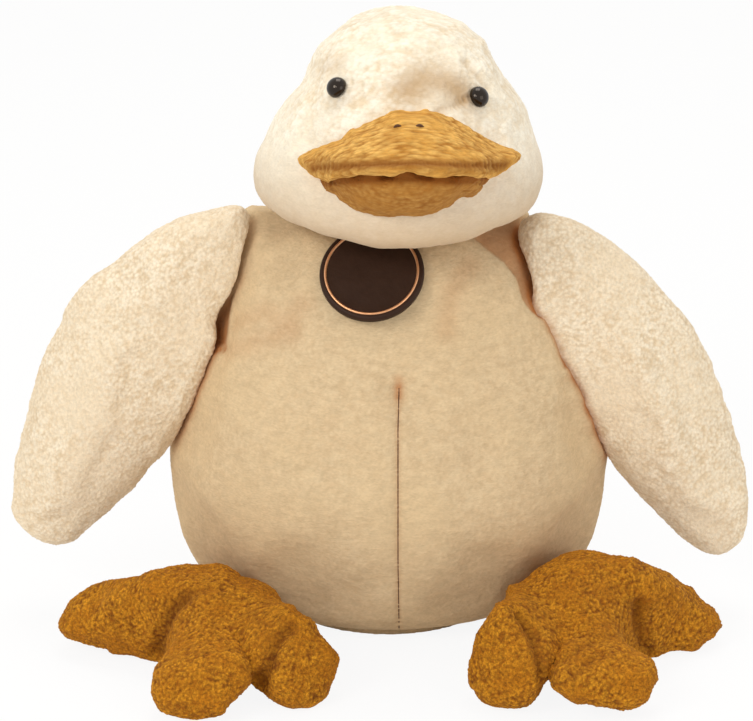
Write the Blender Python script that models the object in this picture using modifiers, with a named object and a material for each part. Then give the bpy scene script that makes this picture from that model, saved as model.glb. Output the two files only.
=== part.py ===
"""Plush duck: a seated stuffed toy with soft wings and feet, safety eyes and a chest medallion.

Units are metres and +Z is up. The duck faces -Y, and its base panel rests on the floor at the origin.
"""

import math
from collections import namedtuple

import bmesh
import bpy
from mathutils import Matrix, Vector
from mathutils.bvhtree import BVHTree

# Fits shared by all pieces
GAP = 0.0003
OVERRUN = 0.030
PLUSH_THICKNESS = 0.0018
FLOOR_TRIM = 0.0005
FLOOR_SPAN = 0.600
MERGE_DISTANCE = 0.00002

# Body
BODY_HEIGHT = 0.187
BODY_WIDTH = 0.205
BODY_FRONT = 0.082
BODY_BACK = 0.078
BASE_PANEL_RADIUS = 0.052

# Pellet bag in the seat
BAG_RADIUS = 0.046
BAG_HEIGHT = 0.020

# Neck ball, on which the head turns and tips, below the top of the body
NECK_DROP = 0.018
NECK_RADIUS = 0.034
NECK_HEIGHT = BODY_HEIGHT - NECK_DROP

# Head, its floor a little above the body
HEAD_CLEARANCE = 0.004
HEAD_FLOOR = BODY_HEIGHT + HEAD_CLEARANCE
HEAD_HEIGHT = 0.085
HEAD_WIDTH = 0.128
HEAD_FRONT = 0.066
HEAD_BACK = 0.056
HEAD_ASIDE = 0.004
HEAD_FORWARD = 0.012
CHIN_DROP = 0.0075
NAPE_LIFT = 0.0020

# Beak, its mouth this far above the head's floor
BEAK_RISE = 0.0315
BEAK_HEIGHT = HEAD_FLOOR + BEAK_RISE
BEAK_ASIDE = 0.008
BEAK_SINK = 0.018
BEAK_FORWARD = HEAD_FORWARD + HEAD_FRONT - BEAK_SINK
BEAK_WIDTH = 0.097
BEAK_TILT = math.radians(7)
BEAK_ROOT_DEPTH = 0.022
UPPER_BEAK_REACH = 0.050
UPPER_BEAK_HEIGHT = 0.025
LOWER_BEAK_REACH = 0.042
LOWER_BEAK_HEIGHT = 0.022
NOSTRIL_LENGTH = 0.0030
NOSTRIL_WIDTH = 0.0014
NOSTRIL_SPACING = 0.0092
NOSTRIL_HEIGHT = 0.0225

# Eyes, this far above the mouth
EYE_RISE = 0.0265
EYE_HEIGHT = BEAK_HEIGHT + EYE_RISE
EYE_RADIUS = 0.0045
EYE_BULGE = 0.0036
EYE_RIM = 0.0008
EYE_SHANK_RADIUS = 0.0016
EYE_SHANK_LENGTH = 0.0120
EYE_SPACING = 0.060
RIGHT_EYE_OFFSET = 0.0030
LEFT_EYE_OFFSET = -0.0020
WASHER_RADIUS = 0.0060
WASHER_THICKNESS = 0.0014
WASHER_SETBACK = 0.0020

# Wings, their shoulders just inside the body's side and below its top
SHOULDER_INSET = 0.0355
SHOULDER_ASIDE = BODY_WIDTH / 2 - SHOULDER_INSET
SHOULDER_DROP = 0.003
SHOULDER_HEIGHT = BODY_HEIGHT - SHOULDER_DROP
SHOULDER_FORWARD = 0.016
WING_LENGTH = 0.178
RIGHT_WING_BREADTH = 0.068
LEFT_WING_BREADTH = 0.063
WING_DEPTH = 0.042
RIGHT_WING_HANG = math.radians(32)
LEFT_WING_HANG = math.radians(29)

# Feet, under the body's front corners
RIGHT_FOOT_INSET = 0.0225
RIGHT_FOOT_ASIDE = BODY_WIDTH / 2 - RIGHT_FOOT_INSET
LEFT_FOOT_INSET = 0.0185
LEFT_FOOT_ASIDE = BODY_WIDTH / 2 - LEFT_FOOT_INSET
FOOT_SETBACK = 0.004
FOOT_FORWARD = BODY_FRONT - FOOT_SETBACK
FOOT_THICKNESS = 0.036
FOOT_SETTLE = 0.0010
FOOT_PAD_RADIUS = 0.030
LEG_REACH = 0.050
LEG_WIDTH = 0.054
OUTER_TOE_REACH = 0.069
OUTER_TOE_WIDTH = 0.032
OUTER_TOE_SWEEP = math.radians(14)
MIDDLE_TOE_REACH = 0.067
MIDDLE_TOE_WIDTH = 0.042
INNER_TOE_REACH = 0.068
INNER_TOE_WIDTH = 0.038
INNER_TOE_SPREAD = math.radians(45)
TOE_THICKNESS = 0.030
INNER_TOE_THICKNESS = 0.037
RIGHT_FOOT_TURN = math.radians(0)
LEFT_FOOT_TURN = math.radians(8)
ANKLE_HEIGHT = 0.042
ANKLE_SETBACK = 0.030
ANKLE_FORWARD = FOOT_FORWARD - ANKLE_SETBACK

# Tail
TAIL_HEIGHT = 0.050
TAIL_LENGTH = 0.070
TAIL_WIDTH = 0.048
TAIL_DEPTH = 0.026
TAIL_SINK = 0.028
TAIL_ROOT = BODY_BACK - TAIL_SINK
TAIL_LIFT = math.radians(28)

# Medallion
MEDALLION_RADIUS = 0.0225
MEDALLION_THICKNESS = 0.0040
MEDALLION_BEVEL = 0.0012
MEDALLION_ASIDE = 0.0070
MEDALLION_DROP = 0.018
MEDALLION_HEIGHT = BODY_HEIGHT - MEDALLION_DROP
MEDALLION_RING_RADIUS = 0.0199
MEDALLION_RING_WIRE = 0.0007
STUD_RADIUS = 0.0020
STUD_LENGTH = 0.0075
STUD_SOCKET = 0.0020

# Belly seam
SEAM_ASIDE = 0.004
SEAM_DROP = 0.056
SEAM_TOP = BODY_HEIGHT - SEAM_DROP
SEAM_FOOT = 0.010
SEAM_RADIUS = 0.0004

# Rings of the soft forms, bottom to top, each as shares of height, half width, front and back
BODY_RING_shares = (
    (0.000, 0.50, 0.54, 0.55),
    (0.030, 0.80, 0.80, 0.80),
    (0.150, 0.95, 0.95, 0.95),
    (0.380, 1.02, 1.02, 1.02),
    (0.640, 0.90, 0.91, 0.93),
    (0.840, 0.75, 0.73, 0.78),
    (0.965, 0.63, 0.58, 0.60),
)
HEAD_RING_shares = (
    (0.000, 0.56, 0.50, 0.44),
    (0.020, 0.86, 0.86, 0.64),
    (0.130, 1.01, 1.02, 0.90),
    (0.330, 0.99, 1.00, 1.00),
    (0.560, 0.83, 0.87, 0.98),
    (0.780, 0.63, 0.68, 0.85),
    (0.945, 0.37, 0.41, 0.57),
)
HEAD_RING_DROP_shares = (0.00, 1.00, 0.80, 0.35, 0.00, 0.00, 0.00)
BAG_RING_shares = (
    (0.06, 0.80, 0.80, 0.80),
    (0.50, 1.00, 1.00, 1.00),
    (0.94, 0.76, 0.76, 0.76),
)
UPPER_BEAK_RING_shares = (
    (-0.04, 0.92, 0.93, 1.00),
    (0.14, 1.00, 1.00, 1.00),
    (0.40, 0.82, 0.84, 1.00),
    (0.70, 0.48, 0.60, 1.00),
    (0.96, 0.18, 0.36, 1.00),
)
LOWER_BEAK_RING_shares = (
    (-0.98, 0.38, 0.42, 1.00),
    (-0.76, 0.70, 0.70, 1.00),
    (-0.38, 0.88, 0.90, 1.00),
    (0.00, 0.95, 1.00, 1.00),
)

# Stations of the limbs, root to tip, each as shares of length, drift across, breadth and depth
RIGHT_WING_STATION_shares = (
    (0.05, 0.02, 0.58, 0.70),
    (0.21, 0.09, 0.82, 0.94),
    (0.43, 0.12, 1.08, 1.02),
    (0.65, 0.06, 1.04, 0.95),
    (0.84, 0.00, 0.84, 0.80),
    (0.96, -0.03, 0.50, 0.45),
)
LEFT_WING_STATION_shares = (
    (0.05, -0.04, 0.54, 0.70),
    (0.21, 0.02, 0.80, 0.94),
    (0.43, 0.06, 1.00, 1.02),
    (0.65, 0.02, 0.98, 0.95),
    (0.84, 0.00, 0.78, 0.80),
    (0.96, -0.05, 0.48, 0.45),
)
TAIL_STATION_shares = (
    (0.20, 0.00, 1.00, 1.00),
    (0.64, 0.02, 0.84, 0.88),
    (0.93, 0.06, 0.46, 0.50),
)
# Steps of a toe from the pad to its tip, as shares of reach, width and thickness
TOE_STEP_shares = (
    (0.62, 1.00, 1.08),
    (0.86, 1.08, 1.04),
    (1.00, 0.80, 0.72),
)
OUTER_TOE_STEP_shares = (
    (0.62, 1.06, 1.12),
    (0.86, 0.96, 0.90),
    (1.00, 0.64, 0.58),
)
LEG_STEP_shares = (
    (0.60, 1.00, 1.00),
    (1.00, 0.90, 0.92),
)
BAG_WELL_RADIUS_share = 0.80
FOOT_INSTEP_RADIUS_share = 0.55
FOOT_INSTEP_RISE_share = 0.30
FOOT_SOLE_RADIUS_share = 0.94

BODY_SEGMENTS = 10
HEAD_SEGMENTS = 10
LIMB_SEGMENTS = 8
BEAK_SEGMENTS = 8
PAD_SIDES = 8
TURN_STEPS = 16
DISC_SIDES = 32
MEDALLION_ROUNDS = 24
RING_TUBE_SIDES = 6
BALL_SEGMENTS = 24
BALL_RINGS = 14
SEAM_POINTS = 20
SEAM_RESOLUTION = 1
STITCH_SEGMENTS = 8
STITCH_RINGS = 4
BEVEL_STEPS = 2

Ring = namedtuple("Ring", "centre side front back")


def clear_scene():
    """Remove every object that the file opened with."""
    for obj in list(bpy.data.objects):
        bpy.data.objects.remove(obj, do_unlink=True)


def make_collection(name):
    """Make a collection under the scene and return it."""
    collection = bpy.data.collections.new(name)
    bpy.context.scene.collection.children.link(collection)
    return collection


def make_material(name, colour, roughness, metallic=0.0):
    """Make a plain Principled material."""
    material = bpy.data.materials.new(name)
    material.use_nodes = True
    shader = material.node_tree.nodes["Principled BSDF"]
    shader.inputs["Base Color"].default_value = (*colour, 1.0)
    shader.inputs["Roughness"].default_value = roughness
    shader.inputs["Metallic"].default_value = metallic
    material.diffuse_color = (*colour, 1.0)
    return material


def add_object(name, mesh, collection, material=None, parent=None):
    """Link a mesh or curve as an object, smooth and with its material."""
    obj = bpy.data.objects.new(name, mesh)
    collection.objects.link(obj)
    if material is not None:
        obj.data.materials.append(material)
    if parent is not None:
        obj.parent = parent
        obj.matrix_parent_inverse = Matrix.Translation(-parent.location)
    return obj


def add_cutter(name, mesh, collection):
    """Link a mesh that only cuts other pieces."""
    obj = add_object(name, mesh, collection)
    obj.hide_render = True
    obj.display_type = "WIRE"
    return obj


def add_pivot(name, place, collection):
    """Mark the point that a moving piece turns about."""
    pivot = bpy.data.objects.new(name, None)
    pivot.location = place
    collection.objects.link(pivot)
    return pivot


def subdivide(obj):
    """Round the coarse cage."""
    rounding = obj.modifiers.new("rounding", "SUBSURF")
    rounding.levels = 1
    rounding.render_levels = 1


def inset(obj, depth):
    """Move the whole surface inwards by a depth, or outwards by a negative one."""
    shift = obj.modifiers.new("inset", "DISPLACE")
    shift.mid_level = 0.0
    shift.strength = -depth


def hollow(obj, thickness):
    """Leave only a wall of the given thickness inside the surface."""
    wall = obj.modifiers.new("wall", "SOLIDIFY")
    wall.thickness = thickness
    wall.offset = -1.0


def boolean(obj, other, operation="DIFFERENCE"):
    """Cut, or keep only what lies inside, the other closed mesh."""
    cut = obj.modifiers.new(f"cut {other.name}", "BOOLEAN")
    cut.operation = operation
    cut.solver = "EXACT"
    cut.object = other


def facet_growth(segments, rings):
    """Share by which a faceted ball must grow to hold a round one of the same radius."""
    return 1 / (math.cos(math.pi / segments) * math.cos(math.pi / (2 * rings)))


def cage_growth(segments):
    """Share by which a ring of this many points stands outside the rounded surface."""
    return 4 / (3 + math.cos(2 * math.pi / segments))


def ring_mesh(name, first, rings, last, segments):
    """Pull the rings of a sphere onto the given rings, with its poles at first and last."""
    bm = bmesh.new()
    steps = len(rings) + 1
    bmesh.ops.create_uvsphere(bm, u_segments=segments, v_segments=steps, radius=1.0)
    growth = cage_growth(segments)
    for vert in bm.verts:
        height = max(-1.0, min(1.0, vert.co.z))
        step = steps - round(math.acos(height) / math.pi * steps)
        if step == 0:
            vert.co = first
            continue
        if step == steps:
            vert.co = last
            continue
        ring = rings[step - 1]
        angle = math.atan2(vert.co.y, vert.co.x)
        across = math.cos(angle) * growth
        along = math.sin(angle) * growth
        depth = ring.back * along if along > 0 else ring.front * -along
        vert.co = ring.centre + ring.side * across + depth
    bm.normal_update()
    bmesh.ops.recalc_face_normals(bm, faces=bm.faces)
    return mesh_from(bm, name)


def mesh_from(bm, name):
    """Store a bmesh as smooth mesh data."""
    mesh = bpy.data.meshes.new(name)
    bm.to_mesh(mesh)
    bm.free()
    mesh.shade_smooth()
    return mesh


def upright_rings(shares, base, height, half_width, front, back):
    """Level rings about an upright axis."""
    return [
        Ring(
            base + Vector((0, 0, height * rise)),
            Vector((half_width * wide, 0, 0)),
            Vector((0, -front * ahead, 0)),
            Vector((0, back * behind, 0)),
        )
        for rise, wide, ahead, behind in shares
    ]


def limb_rings(shares, root, along, across, through, length, breadth, depth):
    """Rings square to a limb's axis, drifting sideways as the shares say."""
    return [
        Ring(
            root + along * (length * reach) + across * (breadth * drift),
            across * (breadth * wide / 2),
            through * (-depth * thick / 2),
            through * (depth * thick / 2),
        )
        for reach, drift, wide, thick in shares
    ]


def body_mesh(name):
    """The pear-shaped body, flat under its seat."""
    base = Vector((0, 0, -FLOOR_TRIM))
    rings = upright_rings(
        BODY_RING_shares, base, BODY_HEIGHT, BODY_WIDTH / 2, BODY_FRONT, BODY_BACK
    )
    top = base + Vector((0, 0, BODY_HEIGHT))
    return ring_mesh(name, base, rings, top, BODY_SEGMENTS)


def head_mesh(name):
    """The bell-shaped head with wide jowls and a flat underside."""
    base = Vector((HEAD_ASIDE, -HEAD_FORWARD, HEAD_FLOOR))
    rings = upright_rings(
        HEAD_RING_shares, base, HEAD_HEIGHT, HEAD_WIDTH / 2, HEAD_FRONT, HEAD_BACK
    )
    chin = Vector((0, 0, -CHIN_DROP))
    nape = Vector((0, 0, CHIN_DROP + NAPE_LIFT))
    rings = [
        ring._replace(centre=ring.centre + chin * drop, back=ring.back + nape * drop)
        for ring, drop in zip(rings, HEAD_RING_DROP_shares)
    ]
    top = base + Vector((0, 0, HEAD_HEIGHT))
    return ring_mesh(name, base, rings, top, HEAD_SEGMENTS)


def beak_mesh(name, shares, reach, height):
    """One half of the beak, level at the mouth and rooted in the head."""
    rings = upright_rings(shares, Vector(), height, BEAK_WIDTH / 2, reach, BEAK_ROOT_DEPTH)
    first = rings[0].centre
    last = rings[-1].centre
    mesh = ring_mesh(name, first, rings, last, BEAK_SEGMENTS)
    mesh.transform(beak_frame())
    return mesh


def beak_frame():
    """The mouth's place: a little aside, ahead of the head's centre and tipped up in front."""
    place = Vector((BEAK_ASIDE, -BEAK_FORWARD, BEAK_HEIGHT))
    return Matrix.Translation(place) @ Matrix.Rotation(-BEAK_TILT, 4, "X")


def wing_mesh(name, side, hang, breadth, stations):
    """A long stuffed teardrop that hangs down and out from the shoulder."""
    root = Vector((side * SHOULDER_ASIDE, -SHOULDER_FORWARD, SHOULDER_HEIGHT))
    along = Vector((side * math.sin(hang), 0, -math.cos(hang)))
    across = Vector((side * math.cos(hang), 0, math.sin(hang)))
    through = Vector((0, 1, 0))
    sizes = (WING_LENGTH, breadth, WING_DEPTH)
    rings = limb_rings(stations, root, along, across, through, *sizes)
    return ring_mesh(name, root, rings, root + along * WING_LENGTH, LIMB_SEGMENTS)


def tail_mesh(name):
    """A short flat tail that tips up behind the body."""
    root = Vector((0, TAIL_ROOT, TAIL_HEIGHT))
    along = Vector((0, math.cos(TAIL_LIFT), math.sin(TAIL_LIFT)))
    across = Vector((1, 0, 0))
    through = Vector((0, -math.sin(TAIL_LIFT), math.cos(TAIL_LIFT)))
    sizes = (TAIL_LENGTH, TAIL_WIDTH, TAIL_DEPTH)
    rings = [
        ring._replace(centre=ring.centre + through * (TAIL_DEPTH * drift))
        for ring, (_, drift, _, _) in zip(
            limb_rings(TAIL_STATION_shares, root, along, across, through, *sizes),
            TAIL_STATION_shares,
        )
    ]
    return ring_mesh(name, root, rings, root + along * TAIL_LENGTH, LIMB_SEGMENTS)


def nearest_side(bm, heading):
    """The upright face of the pad that looks most nearly along a heading."""
    upright = [face for face in bm.faces if len(face.verts) == 4]
    bm.normal_update()
    return max(upright, key=lambda face: face.normal.dot(heading))


def grow_limb(bm, face, heading, steps, reach, width, thickness, centre):
    """Draw a face of the pad out along a heading, step by step, on the floor."""
    across = Vector((-heading.y, heading.x, 0))
    for far, wide, thick in steps:
        face = bmesh.ops.extrude_discrete_faces(bm, faces=[face])["faces"][0]
        middle = face.calc_center_median()
        place = centre + heading * (reach * far)
        for vert in face.verts:
            aside = math.copysign(width * wide / 2, (vert.co - middle).dot(across))
            top = vert.co.z > middle.z
            rise = thickness * thick - FLOOR_TRIM if top else thickness * (1 - thick) / 2
            vert.co = place + across * aside
            vert.co.z = rise if top else rise - FLOOR_TRIM


def foot_mesh(name, side, aside, turn):
    """A padded foot: a round pad with three fat toes and a leg behind."""
    bm = bmesh.new()
    bmesh.ops.create_cone(
        bm,
        cap_ends=True,
        segments=PAD_SIDES,
        radius1=FOOT_PAD_RADIUS * FOOT_SOLE_RADIUS_share,
        radius2=FOOT_PAD_RADIUS,
        depth=FOOT_THICKNESS,
        matrix=Matrix.Translation((0, 0, FOOT_THICKNESS / 2 - FLOOR_TRIM))
        @ Matrix.Rotation(math.pi / PAD_SIDES, 4, "Z"),
    )
    centre = Vector()
    sweep = Vector((side * math.cos(OUTER_TOE_SWEEP), math.sin(OUTER_TOE_SWEEP), 0))
    spread = Vector((-side * math.sin(INNER_TOE_SPREAD), -math.cos(INNER_TOE_SPREAD), 0))
    ahead = Vector((0, -1, 0))
    toes = (
        (sweep, OUTER_TOE_STEP_shares, (OUTER_TOE_REACH, OUTER_TOE_WIDTH, TOE_THICKNESS)),
        (ahead, TOE_STEP_shares, (MIDDLE_TOE_REACH, MIDDLE_TOE_WIDTH, TOE_THICKNESS)),
        (spread, TOE_STEP_shares, (INNER_TOE_REACH, INNER_TOE_WIDTH, INNER_TOE_THICKNESS)),
    )
    for heading, steps, sizes in toes:
        face = nearest_side(bm, heading)
        grow_limb(bm, face, heading, steps, *sizes, centre)
    heading = Vector((0, 1, 0))
    face = nearest_side(bm, heading)
    sizes = (LEG_REACH, LEG_WIDTH, FOOT_THICKNESS)
    grow_limb(bm, face, heading, LEG_STEP_shares, *sizes, centre)
    instep = max(bm.faces, key=lambda face: len(face.verts) + face.normal.z)
    rim = FOOT_PAD_RADIUS * (1 - FOOT_INSTEP_RADIUS_share)
    bmesh.ops.inset_region(bm, faces=[instep], thickness=rim)
    bmesh.ops.translate(
        bm, verts=instep.verts, vec=(0, 0, FOOT_THICKNESS * FOOT_INSTEP_RISE_share)
    )
    place = Vector((side * aside, -FOOT_FORWARD, -FOOT_SETTLE))
    spin = Matrix.Rotation(side * turn, 4, "Z")
    bmesh.ops.transform(bm, matrix=Matrix.Translation(place) @ spin, verts=bm.verts)
    bm.normal_update()
    bmesh.ops.recalc_face_normals(bm, faces=bm.faces)
    return mesh_from(bm, name)


def ball_mesh(name, radius, place):
    """A plain ball."""
    bm = bmesh.new()
    sizes = {"u_segments": BALL_SEGMENTS, "v_segments": BALL_RINGS, "radius": radius}
    bmesh.ops.create_uvsphere(bm, matrix=Matrix.Translation(place), **sizes)
    return mesh_from(bm, name)


def cylinder_mesh(name, radius, low, high, frame=None):
    """A closed cylinder from low to high along its frame's Z."""
    bm = bmesh.new()
    middle = Matrix.Translation((0, 0, (low + high) / 2))
    bmesh.ops.create_cone(
        bm,
        cap_ends=True,
        segments=DISC_SIDES,
        radius1=radius,
        radius2=radius,
        depth=high - low,
        matrix=(frame or Matrix()) @ middle,
    )
    return mesh_from(bm, name)


def floor_mesh(name):
    """A slab whose top face is the floor."""
    bm = bmesh.new()
    size = Vector((FLOOR_SPAN, FLOOR_SPAN, OVERRUN))
    matrix = Matrix.Translation((0, 0, -OVERRUN / 2)) @ Matrix.Diagonal((*size, 1))
    bmesh.ops.create_cube(bm, size=1.0, matrix=matrix)
    return mesh_from(bm, name)


def turned_mesh(name, profile, closed=False):
    """An open profile, or a closed one, that a Screw modifier turns about Z."""
    mesh = bpy.data.meshes.new(name)
    points = [(radius, 0, height) for radius, height in profile]
    edges = [(i, i + 1) for i in range(len(points) - 1)]
    if closed:
        edges.append((len(points) - 1, 0))
    mesh.from_pydata(points, edges, [])
    return mesh


def turn(obj):
    """Turn the object's profile once about its own Z axis."""
    screw = obj.modifiers.new("turning", "SCREW")
    screw.steps = TURN_STEPS
    screw.render_steps = TURN_STEPS
    screw.use_merge_vertices = True
    screw.merge_threshold = MERGE_DISTANCE
    screw.use_smooth_shade = True


def surface_frame(obj, origin, heading):
    """Where a line meets an object's surface, with Z along the outward normal there."""
    graph = bpy.context.evaluated_depsgraph_get()
    tree = BVHTree.FromObject(obj, graph)
    point, normal, _, _ = tree.ray_cast(origin, heading)
    upright = normal.to_track_quat("Z", "Y").to_matrix().to_4x4()
    return Matrix.Translation(point) @ upright


def make_sewn_form(name, mesh_maker, place, carve=()):
    """A soft form as a sewn cover and, inside it, its stuffing, both cut by their neighbours."""
    parts, material, filling, parent = place
    cover = add_object(f"{name}_cover", mesh_maker(f"{name}_cover"), parts, material, parent)
    subdivide(cover)
    hollow(cover, PLUSH_THICKNESS)
    stuffing = add_object(
        f"{name}_stuffing", mesh_maker(f"{name}_stuffing"), parts, filling, parent
    )
    subdivide(stuffing)
    inset(stuffing, PLUSH_THICKNESS + GAP)
    for cutter in carve:
        boolean(cover, cutter)
        boolean(stuffing, cutter)
    return cover, stuffing


def make_envelope(name, mesh, cutters):
    """The outer form of a piece grown by the gap, to cut its smaller neighbours."""
    envelope = add_cutter(name, mesh, cutters)
    subdivide(envelope)
    inset(envelope, -GAP)
    return envelope


def make_eye(name, frame, parts, gloss, parent):
    """A glossy dome on a thin shank, as one turned piece."""
    quarter = math.pi / 2
    steps = TURN_STEPS // 4
    dome = [
        (
            EYE_RADIUS * math.sin(quarter * i / steps),
            GAP + EYE_RIM + EYE_BULGE * math.cos(quarter * i / steps),
        )
        for i in range(steps + 1)
    ]
    under = [
        (EYE_RADIUS - EYE_RIM, GAP),
        (EYE_SHANK_RADIUS, GAP),
        (EYE_SHANK_RADIUS, -EYE_SHANK_LENGTH),
        (0, -EYE_SHANK_LENGTH),
    ]
    dome[0] = (0, dome[0][1])
    eye = add_object(name, turned_mesh(name, dome + under), parts, gloss, parent)
    turn(eye)
    eye.matrix_basis = frame
    return eye


def make_washer(name, frame, bore, parts, plastic, parent=None):
    """A flat washer that locks a shank behind the cover."""
    top = -PLUSH_THICKNESS - WASHER_SETBACK
    inner = bore + GAP
    profile = [
        (inner, top - WASHER_THICKNESS),
        (inner, top),
        (WASHER_RADIUS, top),
        (WASHER_RADIUS, top - WASHER_THICKNESS),
    ]
    washer = add_object(name, turned_mesh(name, profile, closed=True), parts, plastic, parent)
    turn(washer)
    washer.matrix_basis = frame
    return washer


def make_pocket(name, frame, radius, depth, cutters):
    """A round pocket in the stuffing, from above the cover down to a depth."""
    return add_cutter(name, cylinder_mesh(name, radius + GAP, -depth, OVERRUN / 2, frame), cutters)


def make_medallion(frame, parts, cutters, leather, copper, metal):
    """A thick round disc with a ring let into its face, held by a stud and a washer."""
    low = GAP
    disc = add_object(
        "medallion_disc",
        cylinder_mesh("medallion_disc", MEDALLION_RADIUS, low, low + MEDALLION_THICKNESS, frame),
        parts,
        leather,
    )
    rounding = disc.modifiers.new("rounding", "BEVEL")
    rounding.width = MEDALLION_BEVEL
    rounding.segments = BEVEL_STEPS
    rounding.limit_method = "ANGLE"
    face = low + MEDALLION_THICKNESS
    ring_frame = frame @ Matrix.Translation((0, 0, face))
    add_object(
        "medallion_ring",
        torus_mesh("medallion_ring", MEDALLION_RING_WIRE, ring_frame),
        parts,
        copper,
    )
    groove = torus_mesh("medallion_groove", MEDALLION_RING_WIRE + GAP, ring_frame)
    boolean(disc, add_cutter("medallion_groove", groove, cutters))
    socket = cylinder_mesh(
        "medallion_socket", STUD_RADIUS + GAP, low - OVERRUN, low + STUD_SOCKET, frame
    )
    boolean(disc, add_cutter("medallion_socket", socket, cutters))
    high = low + STUD_SOCKET - GAP
    stud_mesh = cylinder_mesh("medallion_stud", STUD_RADIUS, -STUD_LENGTH, high, frame)
    add_object("medallion_stud", stud_mesh, parts, metal)
    make_washer("medallion_washer", frame, STUD_RADIUS, parts, metal)


def torus_mesh(name, tube_radius, frame):
    """The medallion's ring, or its groove."""
    bm = bmesh.new()
    circle = bmesh.ops.create_circle(
        bm,
        cap_ends=True,
        segments=RING_TUBE_SIDES,
        radius=tube_radius,
        matrix=Matrix.Translation((MEDALLION_RING_RADIUS, 0, 0))
        @ Matrix.Rotation(math.pi / 2, 4, "X"),
    )
    bmesh.ops.spin(
        bm,
        geom=circle["verts"] + bm.edges[:] + bm.faces[:],
        cent=(0, 0, 0),
        axis=(0, 0, 1),
        angle=2 * math.pi,
        steps=MEDALLION_ROUNDS,
        use_merge=True,
    )
    inner = [face for face in bm.faces if len(face.verts) == RING_TUBE_SIDES]
    bmesh.ops.delete(bm, geom=inner, context="FACES_ONLY")
    bmesh.ops.remove_doubles(bm, verts=bm.verts, dist=MERGE_DISTANCE)
    bmesh.ops.recalc_face_normals(bm, faces=bm.faces)
    bmesh.ops.transform(bm, matrix=frame, verts=bm.verts)
    return mesh_from(bm, name)


def make_nostril(name, side, beak, parts, cutters, thread, parent):
    """A short sewn stitch let into the top of the beak."""
    inward = Vector((0, 1, 0))
    start = Vector(
        (
            BEAK_ASIDE + side * NOSTRIL_SPACING / 2,
            -BEAK_FORWARD - UPPER_BEAK_REACH - OVERRUN,
            BEAK_HEIGHT + NOSTRIL_HEIGHT,
        )
    )
    frame = surface_frame(beak, start, inward)
    radii = Vector((NOSTRIL_LENGTH, NOSTRIL_WIDTH, NOSTRIL_WIDTH)) / 2
    grown = radii + Vector((GAP, GAP, GAP))
    stitch = add_object(name, bead_mesh(name, radii, frame), parts, thread, parent)
    groove = add_cutter(f"{name}_groove", bead_mesh(f"{name}_groove", grown, frame), cutters)
    return stitch, groove


def bead_mesh(name, radii, frame):
    """A ball drawn out to three radii."""
    bm = bmesh.new()
    matrix = frame @ Matrix.Diagonal((*radii, 1))
    sizes = {"u_segments": STITCH_SEGMENTS, "v_segments": STITCH_RINGS, "radius": 1.0}
    bmesh.ops.create_uvsphere(bm, matrix=matrix, **sizes)
    return mesh_from(bm, name)


def make_belly_seam(body, parts, thread):
    """The sewing thread of the front seam, lying on the cover from the dart to the base."""
    curve = bpy.data.curves.new("belly_seam", "CURVE")
    curve.dimensions = "3D"
    curve.bevel_depth = SEAM_RADIUS
    curve.bevel_resolution = SEAM_RESOLUTION
    curve.use_fill_caps = True
    spline = curve.splines.new("POLY")
    spline.points.add(SEAM_POINTS - 1)
    lift = SEAM_RADIUS + 2 * GAP
    for i, point in enumerate(spline.points):
        height = SEAM_TOP + (SEAM_FOOT - SEAM_TOP) * i / (SEAM_POINTS - 1)
        start = Vector((SEAM_ASIDE, -BODY_FRONT - OVERRUN, height))
        frame = surface_frame(body, start, Vector((0, 1, 0)))
        point.co = (*(frame @ Vector((0, 0, lift))), 1.0)
    return add_object("belly_seam", curve, parts, thread)


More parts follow.
